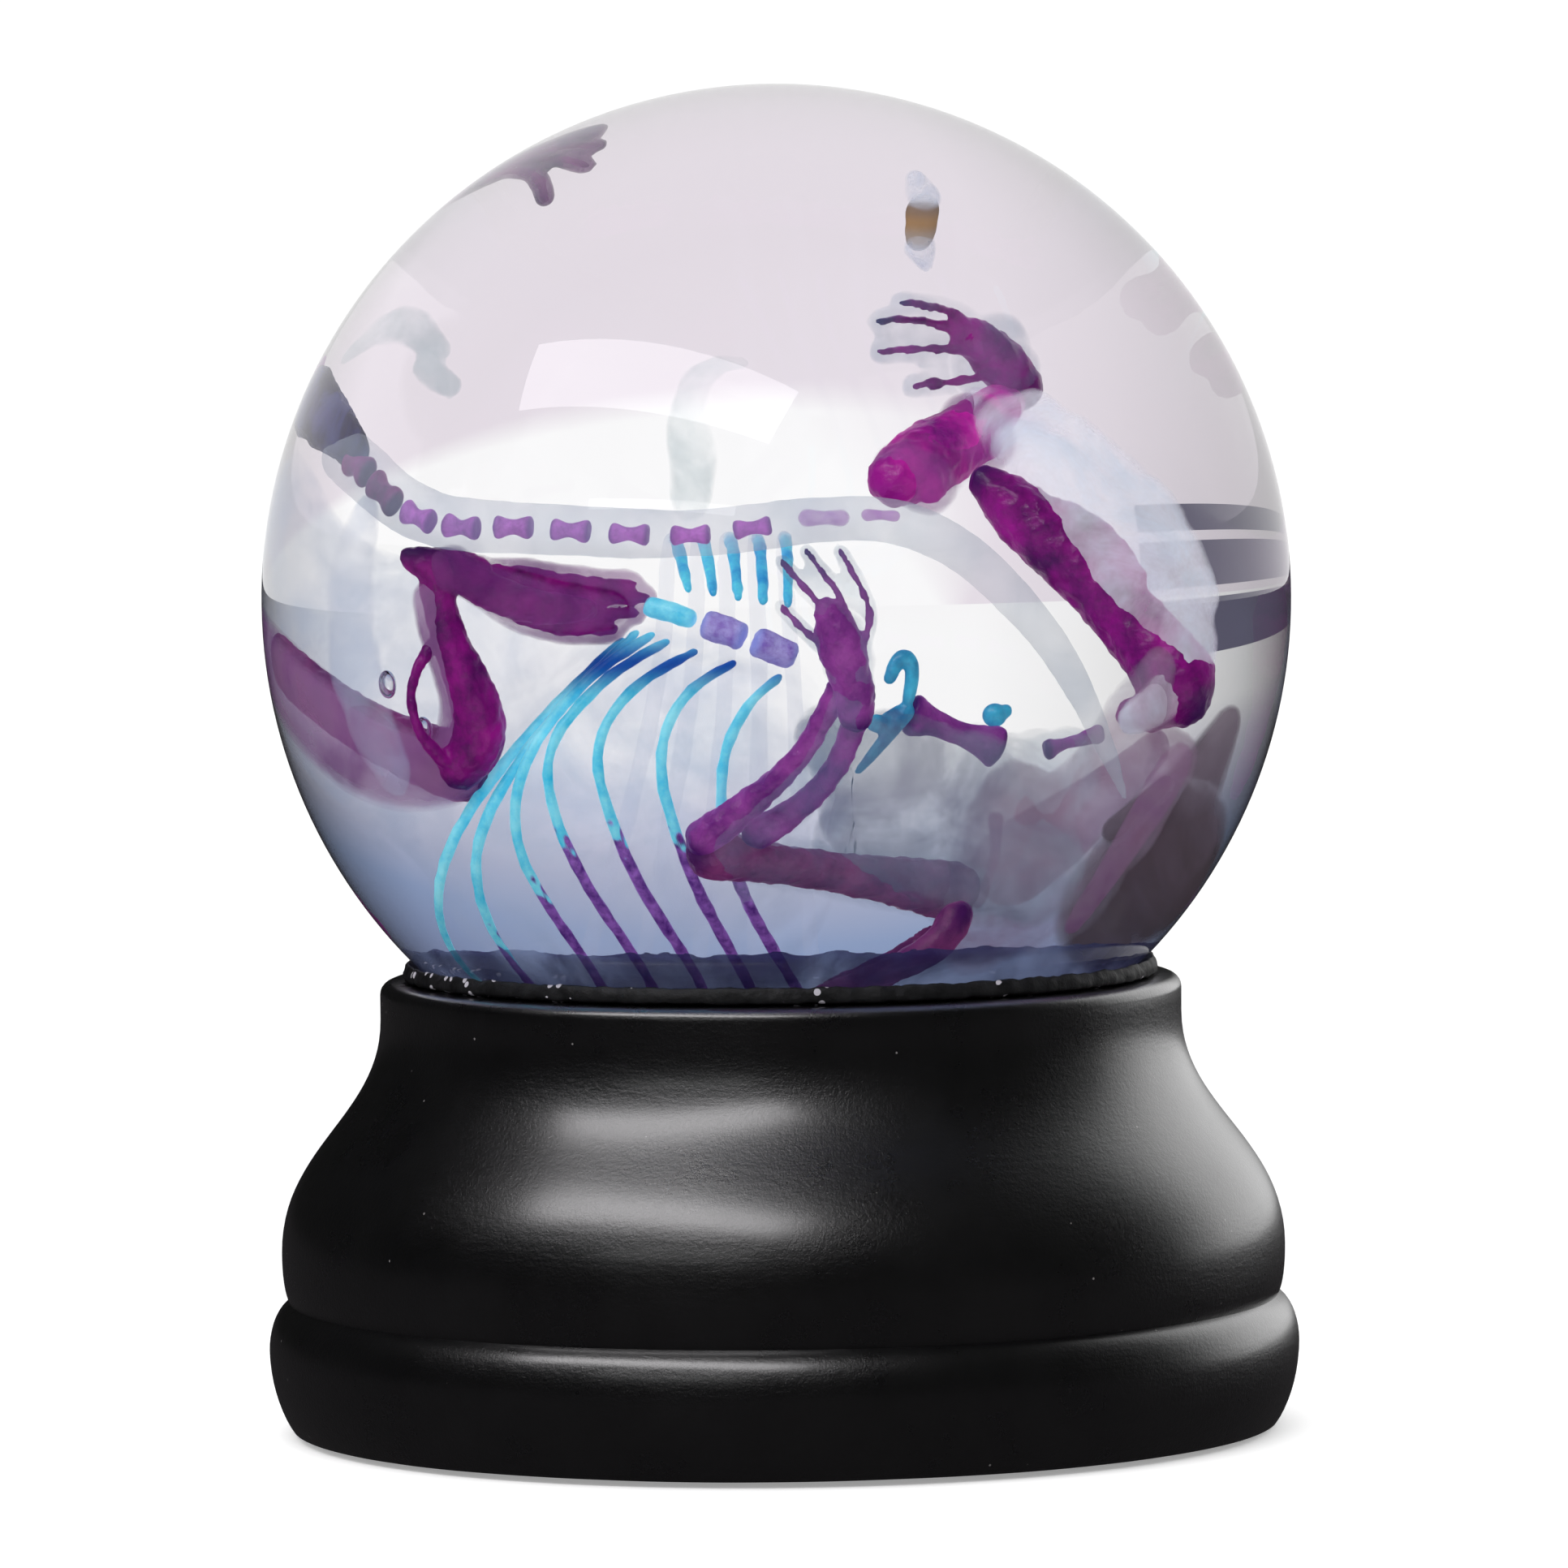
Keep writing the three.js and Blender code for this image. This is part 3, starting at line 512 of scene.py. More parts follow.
def turned(name, outline, segments=128):
    """A closed turned piece. Outline rings are (radius, height) in metres; radius 0 closes on the axis."""
    bpy.ops.object.select_all(action="DESELECT")
    rings = list(outline)
    start_on_axis = rings[0][0] == 0
    first = rings[1] if start_on_axis else rings[0]
    bpy.ops.mesh.primitive_circle_add(vertices=segments, radius=first[0], location=(0, 0, first[1]))
    piece = bpy.context.object
    piece.name = name
    bpy.ops.object.transform_apply(location=True, rotation=True, scale=True)
    bpy.ops.object.mode_set(mode="EDIT")
    bpy.ops.mesh.select_all(action="SELECT")
    if start_on_axis:
        bpy.ops.mesh.extrude_region_move(TRANSFORM_OT_translate={"value": (0, 0, rings[0][1] - first[1])})
        bpy.ops.mesh.merge(type="CENTER")
        bpy.ops.object.mode_set(mode="OBJECT")
        for vertex in piece.data.vertices:
            vertex.select = abs(vertex.co.xy.length - first[0]) < MERGE_WITHIN
        for edge in piece.data.edges:
            edge.select = all(piece.data.vertices[i].select for i in edge.vertices)
        for face in piece.data.polygons:
            face.select = False
        bpy.ops.object.mode_set(mode="EDIT")
        rings = rings[1:]
    radius, height = rings[0]
    for next_radius, next_height in rings[1:]:
        bpy.ops.mesh.extrude_region_move(TRANSFORM_OT_translate={"value": (0, 0, next_height - height)})
        if next_radius == 0:
            bpy.ops.mesh.merge(type="CENTER")
            break
        k = next_radius / radius
        bpy.ops.transform.resize(value=(k, k, 1))
        radius, height = next_radius, next_height
    bpy.ops.mesh.select_all(action="SELECT")
    bpy.ops.mesh.remove_doubles(threshold=MERGE_WITHIN)
    bpy.ops.mesh.normals_make_consistent(inside=False)
    bpy.ops.object.mode_set(mode="OBJECT")
    bpy.ops.object.shade_smooth()
    return piece


def curve_points(*controls, steps=8):
    """Points on one Bezier curve, without its first."""
    a, b, c, d = (np.array(p, float) for p in controls)
    shares = np.linspace(0, 1, steps + 1)[1:, None]
    path = (1 - shares) ** 3 * a + 3 * (1 - shares) ** 2 * shares * b
    path = path + 3 * (1 - shares) * shares ** 2 * c + shares ** 3 * d
    return [tuple(p) for p in path]


def arc(centre, radius, start, end, steps):
    """Points on an arc in degrees, its first one too."""
    turn = np.radians(np.linspace(start, end, steps + 1))
    return [(centre[0] + radius * math.cos(a), centre[1] + radius * math.sin(a)) for a in turn]


print("lathe ready")

# %% [markdown]
# The base's outline has a foot, a sharp groove, a bulge and a long shoulder up to a straight collar and a
# rounded rim. Inside are the globe's well, a shoulder, and the hollow that the cover closes.
# The rings are pushed about by a hair afterwards, because hand-finished paint is never quite true.

# %% Base
stopper_low, stopper_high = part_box("stopper")
cover_low, cover_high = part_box("bottom_cover")
felt_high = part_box("felt_pad")[1]
bead_low, bead_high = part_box("sealing_bead")
GROOVE = (48.2 * MM, 13 * MM)
BULGE = (48.9 * MM, 17.8 * MM)
COLLAR_R, COLLAR_Z = 39 * MM, RIM_Z - 3.6 * MM
EDGE = 1.2 * MM
WELL_R = 35 * MM
SHOULDER_Z = stopper_low.z
HOLLOW_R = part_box("well_floor")[1].x + 0.3 * MM
LEDGE_Z = cover_high.z + 0.3 * MM
RECESS_R = cover_high.x + 0.3 * MM

foot_z = 8.3 * MM
outline = [(48 * MM, FOOT_LOW)]
outline += curve_points(outline[-1], (49.2 * MM, 2.2 * MM), (FOOT_R, 5.4 * MM), (FOOT_R, foot_z), steps=9)
outline += curve_points(outline[-1], (FOOT_R, 10.2 * MM), (49.6 * MM, 12.2 * MM), GROOVE, steps=9)
outline += curve_points(outline[-1], (48.7 * MM, 14 * MM), (BULGE[0], 15.6 * MM), BULGE, steps=8)
outline += curve_points(outline[-1], (BULGE[0], 28 * MM), (COLLAR_R, 31 * MM), (COLLAR_R, COLLAR_Z), steps=26)
outline += [(COLLAR_R, RIM_Z - EDGE - 1.2 * MM)]
outline += arc((COLLAR_R - EDGE, RIM_Z - EDGE), EDGE, 0, 90, 6)
outline += [(WELL_R + 1 * MM, RIM_Z), (WELL_R + 0.2 * MM, RIM_Z), (WELL_R, RIM_Z - 0.3 * MM)]
outline += [(WELL_R, SHOULDER_Z), (HOLLOW_R, SHOULDER_Z), (HOLLOW_R, LEDGE_Z)]
outline += [(RECESS_R, LEDGE_Z), (RECESS_R, FOOT_LOW), outline[0]]
base = turned("base_turned", outline, 160)
wobble = bpy.data.textures.new("hand_wobble", "CLOUDS")
wobble.noise_scale = 0.02
only(base)
apply(base, "DISPLACE", texture=wobble, texture_coords="LOCAL", strength=0.12 * MM, mid_level=0.5)
bpy.ops.object.shade_smooth_by_angle(angle=math.radians(38))
base.data.materials.append(black_paint)
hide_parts("base_body")
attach(base, "base")
print("base has", len(base.data.polygons), "faces")

# %% [markdown]
# Two discs of pressed board close the base: one under the globe's well, with a hole for the plug, and one
# over the hollow underneath. Their edges are broken by a small slope. A felt pad goes under them.

# %% Well floor, cover and felt
disc_low, disc_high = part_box("well_floor")
DISC_R, HOLE_R = disc_high.x, 10 * MM
disc = turned("well_floor_board", [
    (HOLE_R, disc_low.z), (DISC_R - 0.4 * MM, disc_low.z), (DISC_R, disc_low.z + 0.4 * MM),
    (DISC_R, disc_high.z - 0.4 * MM), (DISC_R - 0.4 * MM, disc_high.z), (HOLE_R + 0.4 * MM, disc_high.z),
    (HOLE_R, disc_high.z - 0.4 * MM), (HOLE_R, disc_low.z)], 96)
disc.data.materials.append(board)
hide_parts("well_floor")
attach(disc, "base")

cover = turned("cover_board", [
    (0, cover_low.z), (cover_high.x - 0.3 * MM, cover_low.z), (cover_high.x, cover_low.z + 0.3 * MM),
    (cover_high.x, cover_high.z - 0.3 * MM), (cover_high.x - 0.3 * MM, cover_high.z), (0, cover_high.z)], 96)
cover.data.materials.append(board)
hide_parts("bottom_cover")
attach(cover, "base")

felt_r = felt_high.x
pad = turned("felt_disc", [
    (0, 0), (felt_r * 0.5, 0), (felt_r - 0.5 * MM, 0), (felt_r - 0.1 * MM, 0.2 * MM), (felt_r, 0.6 * MM),
    (felt_r - 0.2 * MM, 1.05 * MM), (felt_r - 0.6 * MM, felt_high.z), (felt_r * 0.5, felt_high.z),
    (0, felt_high.z)], 128)
pad.data.materials.append(felt)
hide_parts("felt_pad")
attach(pad, "base")
print("cover and felt ready")

# %% [markdown]
# The seal is a hand-laid bead, slightly crumbly, that follows the glass. Its inner side keeps a hair's gap to
# the sphere, and its top edge is roughened by a fine noise.

# %% Sealing bead


def glass_radius(z, gap=0.3 * MM):
    """Radius of the glass at height z, with a gap."""
    return math.sqrt((GLOBE_R + gap) ** 2 - (CENTRE.z - z) ** 2)


low, seat, top = bead_low.z, RIM_Z + 0.12 * MM, bead_high.z
crest = glass_radius(top)
outline = [(glass_radius(low), low), (WELL_R - 0.3 * MM, low), (WELL_R - 0.3 * MM, seat)]
outline += [(crest + 0.5 * MM, seat), (crest + 0.62 * MM, seat + 0.5 * MM)]
outline += [(crest + 0.5 * MM, seat + 1.1 * MM), (crest + 0.2 * MM, top - 0.1 * MM), (crest, top)]
outline += [(glass_radius(z), z) for z in np.linspace(top, low, 6)[1:]]
bead = turned("seal_bead", outline, 256)
apply(bead, "SUBSURF", levels=1, render_levels=1)
crumbs = bpy.data.textures.new("crumbs", "CLOUDS")
crumbs.noise_scale = 0.0012
crumbs.noise_depth = 3
apply(bead, "DISPLACE", texture=crumbs, texture_coords="LOCAL", strength=0.5 * MM, mid_level=0.62)
bead.data.materials.append(seal_rubber)
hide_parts("sealing_bead")
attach(bead, "base")
print("bead has", len(bead.data.polygons), "faces")

# %% [markdown]
# The globe is blown glass: one closed shell with an outer and an inner wall that meet at the neck's mouth.
# It is turned from arcs with many rings, because a lens shows every facet. Its inner faces, the ones whose
# normals look at the centre, get the glass-to-glycerin finish.

# %% Glass globe
NECK_R, NECK_IN = 29.5 * MM, 26.5 * MM
INNER_R = GLOBE_R - WALL
NEAR_POLE = 89.4
GLASS_STEPS, GLASS_SEGMENTS = 88, 192

mouth = glass_low.z
outer_start = -math.degrees(math.acos(NECK_R / GLOBE_R))
inner_end = -math.degrees(math.acos(NECK_IN / INNER_R))
outline = [(NECK_R, mouth)]
outline += arc((0, CENTRE.z), GLOBE_R, outer_start, NEAR_POLE, GLASS_STEPS)
outline += [(0, CENTRE.z + GLOBE_R)]
shell = turned("globe_shell_outer", outline, GLASS_SEGMENTS)
outline = [(NECK_R, mouth), (NECK_IN, mouth)]
outline += arc((0, CENTRE.z), INNER_R, inner_end, NEAR_POLE, GLASS_STEPS)
outline += [(0, CENTRE.z + INNER_R)]
lining = turned("globe_shell_inner", outline, GLASS_SEGMENTS)
only(shell)
lining.select_set(True)
bpy.ops.object.join()
shell.name = "globe_shell"
bpy.ops.object.mode_set(mode="EDIT")
bpy.ops.mesh.select_all(action="SELECT")
bpy.ops.mesh.remove_doubles(threshold=MERGE_WITHIN)
bpy.ops.mesh.normals_make_consistent(inside=False)
bpy.ops.object.mode_set(mode="OBJECT")
bpy.ops.object.shade_smooth_by_angle(angle=math.radians(30))
shell.data.materials.clear()
shell.data.materials.append(globe_glass)
shell.data.materials.append(inner_wall)
inward = 0
for face in shell.data.polygons:
    spoke = face.center - CENTRE
    on_inner_side = spoke.length < GLOBE_R - WALL / 2 and face.normal.dot(spoke) < 0
    if on_inner_side and face.center.z > stopper_high.z - 1 * MM:
        face.material_index = 1
        inward += 1
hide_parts("glass_globe")
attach(shell, "globe")
print("glass faces", len(shell.data.polygons), "of which inner wall", inward)

# %% [markdown]
# The liquid fills the globe down to the stopper. It is drawn as one clear body just inside the glass.

# %% Glycerin
LIQUID_R = INNER_R - 0.15 * MM
floor_z = stopper_high.z + 0.15 * MM
edge = -math.degrees(math.asin((CENTRE.z - floor_z) / LIQUID_R))
outline = [(0, floor_z)] + arc((0, CENTRE.z), LIQUID_R, edge, 89, 60) + [(0, CENTRE.z + LIQUID_R)]
liquid = turned("glycerin_body", outline, 128)
liquid.data.materials.append(glycerin)
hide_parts("glycerin_fill")
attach(liquid, "globe")

print("liquid has", len(liquid.data.polygons), "faces")

# %% [markdown]
# A rubber stopper with a flange closes the neck, and a small plug closes the hole that the globe is filled
# through. Both are turned, with their edges broken. The plug is the body that slides out underneath.

# %% Stopper and plug
flange_r, plug_r = stopper_high.x, 26.2 * MM
flange_top = stopper_low.z + 2.7 * MM
bore = 4 * MM
bung = turned("stopper_rubber", [
    (bore, stopper_low.z), (flange_r - 0.4 * MM, stopper_low.z), (flange_r, stopper_low.z + 0.4 * MM),
    (flange_r, flange_top - 0.4 * MM), (flange_r - 0.4 * MM, flange_top), (plug_r, flange_top),
    (plug_r, stopper_high.z - 1 * MM), (plug_r - 0.3 * MM, stopper_high.z - 0.3 * MM),
    (plug_r - 1 * MM, stopper_high.z), (bore + 0.4 * MM, stopper_high.z), (bore, stopper_high.z - 0.4 * MM),
    (bore, stopper_low.z)], 96)
bung.data.materials.append(stopper_rubber)
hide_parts("stopper")
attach(bung, "globe")

plug_low, plug_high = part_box("bleed_plug")
head_r, shank_r = plug_high.x, 3.7 * MM
head_top = plug_low.z + 2 * MM
tap = turned("bleed_plug_rubber", [
    (0, plug_low.z), (head_r - 0.5 * MM, plug_low.z), (head_r, plug_low.z + 0.5 * MM),
    (head_r, head_top - 0.3 * MM), (head_r - 0.3 * MM, head_top), (shank_r, head_top),
    (shank_r, plug_high.z - 0.8 * MM), (shank_r - 0.6 * MM, plug_high.z), (0, plug_high.z)], 64)
tap.data.materials.append(stopper_rubber)
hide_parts("bleed_plug")
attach(tap, "plug")
print("stopper and plug ready")

# %% [markdown]
# Bone is soaked in a red-violet dye that takes unevenly: shafts are magenta, and ends almost black-violet.
# The finish mottles two colours, and an attribute that each bone carries, how near its end a point lies,
# darkens the ends. A soft sheen in the dye's own colour lightens the edges.

# %% Stained bone and cartilage


def reading(tree, name):
    """A number that the piece's points carry."""
    return add(tree, "ShaderNodeAttribute", attribute_name=name).outputs["Fac"]


def blended(tree, factor, low, high):
    """Mixes two colours, each a socket or three numbers."""
    node = add(tree, "ShaderNodeMix", data_type="RGBA")
    tree.links.new(factor, node.inputs[0])
    for slot_number, value in ((6, low), (7, high)):
        if isinstance(value, tuple):
            node.inputs[slot_number].default_value = (*value, 1)
        else:
            tree.links.new(value, node.inputs[slot_number])
    return node.outputs[2]


def dyed(name, light, dark, ends, scale=420.0, roughness=0.3, painted_glow=0.3):
    """Dyed bone: mottled, and darker where 'end' is high. Its glow is painted light: an emission for light
    soaked through.
    """
    material, tree, shader = finish(name, Roughness=roughness, Specular_IOR_Level=0.35, Sheen_Weight=0.5)
    shader.inputs["Sheen Tint"].default_value = (*light, 1)
    stain = use(tree, mottle, {"Scale": scale, "Light": (*light, 1), "Dark": (*dark, 1)},
                {"Place": object_place(tree)})
    near_end = ramp(tree, reading(tree, "end"), [(0.1, 0.0), (0.95, 1.0)], smooth=True)
    colour = blended(tree, near_end, stain.outputs["Color"], ends)
    tree.links.new(colour, shader.inputs["Base Color"])
    # The dye's colour is also given off as light: a painted glow, as if light had soaked through.
    tree.links.new(colour, shader.inputs["Emission Color"])
    shader.inputs["Emission Strength"].default_value = painted_glow
    bump(tree, shader, stain.outputs["Height"], 0.7, 0.0005)
    return material


deep_bone = dyed("bone_deep_violet", (0.34, 0.004, 0.26), (0.07, 0.001, 0.09), (0.045, 0.002, 0.09),
                 scale=260.0)
pink_bone = dyed("bone_pale_violet", (0.34, 0.06, 0.36), (0.11, 0.008, 0.17), (0.06, 0.006, 0.13),
                 scale=300.0)
tail_bone = dyed("bone_tail", (0.62, 0.12, 0.72), (0.3, 0.02, 0.4), (0.2, 0.015, 0.34), scale=700.0)
dusky_bone = dyed("bone_dusky", (0.26, 0.05, 0.2), (0.1, 0.012, 0.11), (0.06, 0.006, 0.1), scale=300.0)
vivid_bone = dyed("bone_vivid", (0.66, 0.02, 0.42), (0.16, 0.002, 0.17), (0.34, 0.006, 0.26), scale=230.0)
sternum_bone = dyed("bone_sternum", (0.46, 0.42, 0.82), (0.2, 0.1, 0.5), (0.3, 0.34, 0.8), scale=800.0)

print("dyed bone ready")

# %% [markdown]
# Cartilage takes a cyan-blue dye. A rib's finish reads two attributes: 'bony' turns cartilage to bone along
# it, and 'front' darkens it near the breastbone. A far rib pales and thins out with its own 'bony'.

# %% Ribs and cartilage
# The rib and cartilage finishes give off light in their own colours: a painted glow.
rib_finish, tree, shader = finish("rib_cartilage_to_bone", Roughness=0.3, Emission_Strength=0.45)
place = object_place(tree)
bony = use(tree, mottle, {"Scale": 900.0, "Light": (0.3, 0.12, 0.5, 1), "Dark": (0.05, 0.006, 0.16, 1)},
           {"Place": place})
gristle = use(tree, mottle, {"Scale": 260.0, "Light": (0.28, 0.82, 0.94, 1), "Dark": (0.015, 0.5, 0.75, 1)},
              {"Place": place})
front = blended(tree, ramp(tree, reading(tree, "front"), [(0.0, 0.0), (1.0, 1.0)], smooth=True),
                gristle.outputs["Color"], (0.005, 0.07, 0.36))
whole = blended(tree, ramp(tree, reading(tree, "bony"), [(0.35, 0.0), (0.65, 1.0)], smooth=True),
                front, bony.outputs["Color"])
tree.links.new(whole, shader.inputs["Base Color"])
tree.links.new(whole, shader.inputs["Emission Color"])
bump(tree, shader, bony.outputs["Height"], 0.6, 0.0003)

# The far rib gives off light in its own colour too: a painted glow.
far_rib, tree, shader = finish("rib_far", Roughness=0.4, Emission_Strength=0.4)
place = object_place(tree)
fade = use(tree, mottle, {"Scale": 300.0, "Light": (0.12, 0.7, 0.86, 1), "Dark": (0.01, 0.24, 0.6, 1)},
           {"Place": place})
far_colour = blended(tree, ramp(tree, reading(tree, "bony"), [(0.2, 0.0), (0.8, 1.0)]), fade.outputs["Color"],
                     (0.6, 0.66, 0.85))
tree.links.new(far_colour, shader.inputs["Base Color"])
tree.links.new(far_colour, shader.inputs["Emission Color"])
tree.links.new(ramp(tree, reading(tree, "bony"), [(0.1, 1.0), (0.45, 0.3), (1.0, 0.1)], smooth=True),
               shader.inputs["Alpha"])
bump(tree, shader, fade.outputs["Height"], 0.4, 0.0003)

# The blue cartilage gives off light in its own colour too: a painted glow.
blue_gristle, tree, shader = finish("blue_cartilage", Roughness=0.3, Emission_Strength=0.35)
stain = use(tree, mottle, {"Scale": 300.0, "Light": (0.06, 0.5, 0.72, 1), "Dark": (0.012, 0.10, 0.3, 1)},
            {"Place": object_place(tree)})
tree.links.new(stain.outputs["Color"], shader.inputs["Base Color"])
tree.links.new(stain.outputs["Color"], shader.inputs["Emission Color"])
bump(tree, shader, stain.outputs["Height"], 0.4, 0.0003)
print("ribs and cartilage ready")

# %% [markdown]
# Cleared tissue is milky jelly. It is drawn as closed skins that let most of the light through: the alpha
# drifts with a cloudy noise and fades where the skin is seen edge-on, as it does on clear jelly. A little
# painted light of its own, an emission, stands for what scatters inside.

# %% Clear tissue


def veil(name, pale, tinted, thin, thick, scale=120.0, painted_glow=0.18, roughness=0.4, rim=0.0):
    """A milky skin. Alpha runs from thin to thick with a cloudy noise, and fades at the rim."""
    # The skin gives off light in its own colour: a painted glow.
    material, tree, shader = finish(
        name, Roughness=roughness, Specular_IOR_Level=0.2, Emission_Strength=painted_glow, IOR=1.1)
    cloud = add(tree, "ShaderNodeTexNoise",
                {"Scale": scale, "Detail": 5.0, "Roughness": 0.6, "Distortion": 0.6},
                {"Vector": object_place(tree)})
    colour = ramp(tree, cloud.outputs["Fac"], [(0.35, pale), (0.65, tinted)], smooth=True)
    tree.links.new(colour, shader.inputs["Base Color"])
    tree.links.new(colour, shader.inputs["Emission Color"])
    density = ramp(tree, cloud.outputs["Fac"], [(0.3, thin), (0.7, thick)], smooth=True)
    edge = add(tree, "ShaderNodeLayerWeight", {"Blend": 0.5}).outputs["Facing"]
    soft_edge = ramp(tree, edge, [(0.25, 1.0), (0.8, rim)], smooth=True)
    kept = add(tree, "ShaderNodeMath", {}, {0: density, 1: soft_edge}, operation="MULTIPLY")
    tree.links.new(kept.outputs[0], shader.inputs["Alpha"])
    bump(tree, shader, cloud.outputs["Fac"], 0.3, 0.0006)
    return material


milky = veil("tissue_milky", (0.93, 0.93, 0.97), (0.7, 0.78, 0.88), 0.25, 0.8, scale=110.0, painted_glow=0.4)
body_haze = veil("tissue_body_haze", (0.74, 0.78, 0.9), (0.42, 0.55, 0.76), 0.05, 0.36, scale=80.0, painted_glow=0.3)
paw_skin = veil("tissue_paw_skin", (0.40, 0.60, 0.72), (0.2, 0.38, 0.56), 0.08, 0.26, scale=160.0)
sheath_skin = veil("tissue_tail_sheath", (0.66, 0.72, 0.8), (0.5, 0.6, 0.72), 0.2, 0.34,
                   scale=90.0, painted_glow=0.25, rim=1.0)
teal_shred = veil("tissue_teal", (0.42, 0.68, 0.68), (0.26, 0.5, 0.54), 0.04, 0.26, scale=150.0)
violet_flesh = veil("tissue_violet", (0.36, 0.12, 0.38), (0.16, 0.03, 0.2), 0.35, 0.7, scale=110.0, painted_glow=0.3)
thigh_flesh = veil("tissue_thigh", (0.42, 0.24, 0.45), (0.22, 0.08, 0.26), 0.45, 0.8,
                   scale=75.0, painted_glow=0.35, rim=0.15)
root_flesh = veil("tissue_tail_root", (0.05, 0.05, 0.24), (0.015, 0.006, 0.07), 0.85, 1.0,
                  scale=190.0, painted_glow=0.15, rim=0.8)
paw_shade = veil("tissue_far_paw", (0.2, 0.06, 0.22), (0.05, 0.018, 0.11), 0.6, 0.92,
                 scale=200.0, painted_glow=0.25, rim=0.6)
flake_pale = veil("flake_frayed_ends", (0.8, 0.83, 0.92), (0.55, 0.64, 0.82), 0.15, 0.45,
                  scale=420.0, painted_glow=0.3)
faint_bone = veil("bone_faint", (0.66, 0.3, 0.72), (0.5, 0.2, 0.6), 0.35, 0.75,
                  scale=400.0, painted_glow=0.3, rim=0.5)
hazy_bone = veil("bone_in_haze", (0.4, 0.2, 0.36), (0.24, 0.08, 0.24), 0.2, 0.62,
                 scale=150.0, painted_glow=0.25, rim=0.3)
grey_haze = veil("tissue_grey_haze", (0.34, 0.46, 0.54), (0.13, 0.15, 0.25), 0.15, 0.68,
                 scale=65.0, painted_glow=0.28)
head_haze = veil("tissue_head_haze", (0.42, 0.4, 0.52), (0.3, 0.14, 0.24), 0.12, 0.5, scale=95.0, painted_glow=0.25)
skull_dome = veil("skull_dome", (0.24, 0.18, 0.24), (0.11, 0.08, 0.095), 0.6, 0.9,
                  scale=45.0, painted_glow=0.2, rim=0.1)
dreg_blue = veil("tissue_dregs", (0.10, 0.14, 0.34), (0.035, 0.03, 0.14), 0.25, 0.75,
                 scale=80.0, painted_glow=0.1, rim=1.0)
print("tissue ready")

# %% [markdown]
# A CAD node's mesh is loose triangles and is never changed itself. A copy of it is merged, and neighbouring
# triangles are joined to quads where they can be, so that it subdivides evenly.

# %% Copies and their points


def copy_of(node, name):
    """A merged copy of a CAD node's mesh, as a new piece."""
    piece = bpy.data.objects.new(name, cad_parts[node].data.copy())
    bpy.context.scene.collection.objects.link(piece)
    only(piece)
    bpy.ops.object.mode_set(mode="EDIT")
    bpy.ops.mesh.select_all(action="SELECT")
    bpy.ops.mesh.remove_doubles(threshold=MERGE_WITHIN)
    bpy.ops.mesh.tris_convert_to_quads(face_threshold=math.radians(60), shape_threshold=math.radians(60))
    bpy.ops.object.mode_set(mode="OBJECT")
    piece.data.materials.clear()
    return piece


def points_of(piece):
    """The piece's points, as rows of three numbers."""
    flat = np.empty(len(piece.data.vertices) * 3)
    piece.data.vertices.foreach_get("co", flat)
    return flat.reshape(-1, 3)


print("copies ready")

# %% [markdown]
# Soft tissue is made from strands and blobs. A strand is a curve with rounded ends and a radius at each
# point, made a mesh. A blob is a stretched icosphere. They are joined, remeshed into one skin, smoothed and
# roughened.

# %% Strands, blobs and skins
WISP = bpy.data.textures.new("wisp", "CLOUDS")
WISP.noise_scale = 0.0045
WISP.noise_depth = 3
ROUND_END = ((0.45, 0.88), (0.8, 0.55), (0.95, 0.12))  # how far out and how thick, as shares of the radius
SKIN_GAP = 0.8 * MM


def keep_inside(piece):
    """Draws in any point that would pass the liquid's skin."""
    spots = points_of(piece)
    centre = np.array(CENTRE)
    reach = np.linalg.norm(spots - centre, axis=1)
    share = np.minimum(1, (INNER_R - SKIN_GAP) / np.maximum(reach, 1e-9))
    piece.data.vertices.foreach_set("co", (centre + (spots - centre) * share[:, None]).ravel())
    piece.data.update()


def strand(places, radii):
    """A tapered tube with rounded ends, through places in millimetres from the globe's centre."""
    shares = np.interp(np.linspace(0, 1, len(places)), np.linspace(0, 1, len(radii)), radii)
    spots = [np.array(spot, float) for spot in places]
    for last, step in ((0, 1), (-1, -1)):
        outward = spots[last] - spots[last + step]
        outward /= np.linalg.norm(outward)
        tip = [(spots[last] + outward * shares[last] * out, shares[last] * size)
               for out, size in ROUND_END]
        before, after = ([], tip) if last else (tip[::-1], [])
        spots = [spot for spot, _ in before] + spots + [spot for spot, _ in after]
        shares = np.array([size for _, size in before] + list(shares) + [size for _, size in after])
    places = spots
    data = bpy.data.curves.new("strand", "CURVE")
    data.dimensions = "3D"
    data.bevel_depth = MM
    data.bevel_resolution = 4
    data.use_fill_caps = True
    line = data.splines.new("NURBS")
    line.points.add(len(places) - 1)
    line.order_u = min(4, len(places))
    line.use_endpoint_u = True
    line.resolution_u = 8
    for point, spot, radius in zip(line.points, places, shares):
        point.co = (*inside(*spot), 1)
        point.radius = radius
    piece = bpy.data.objects.new("strand", data)
    bpy.context.scene.collection.objects.link(piece)
    only(piece)
    bpy.ops.object.convert(target="MESH")
    return bpy.context.object


def blob(spot, size, turn=(0, 0, 0)):
    """A stretched ball, with its place and size in millimetres and its turn in degrees."""
    bpy.ops.object.select_all(action="DESELECT")
    bpy.ops.mesh.primitive_ico_sphere_add(subdivisions=3, radius=MM, location=inside(*spot), scale=size,
                                          rotation=tuple(math.radians(a) for a in turn))
    bpy.ops.object.transform_apply(location=True, rotation=True, scale=True)
    return bpy.context.object


def swollen(node, by):
    """A CAD bone's copy, pushed out by some millimetres."""
    piece = copy_of(node, "swollen")
    apply(piece, "SUBSURF", levels=1, render_levels=1)
    apply(piece, "DISPLACE", strength=by * MM, mid_level=0.0)
    return piece


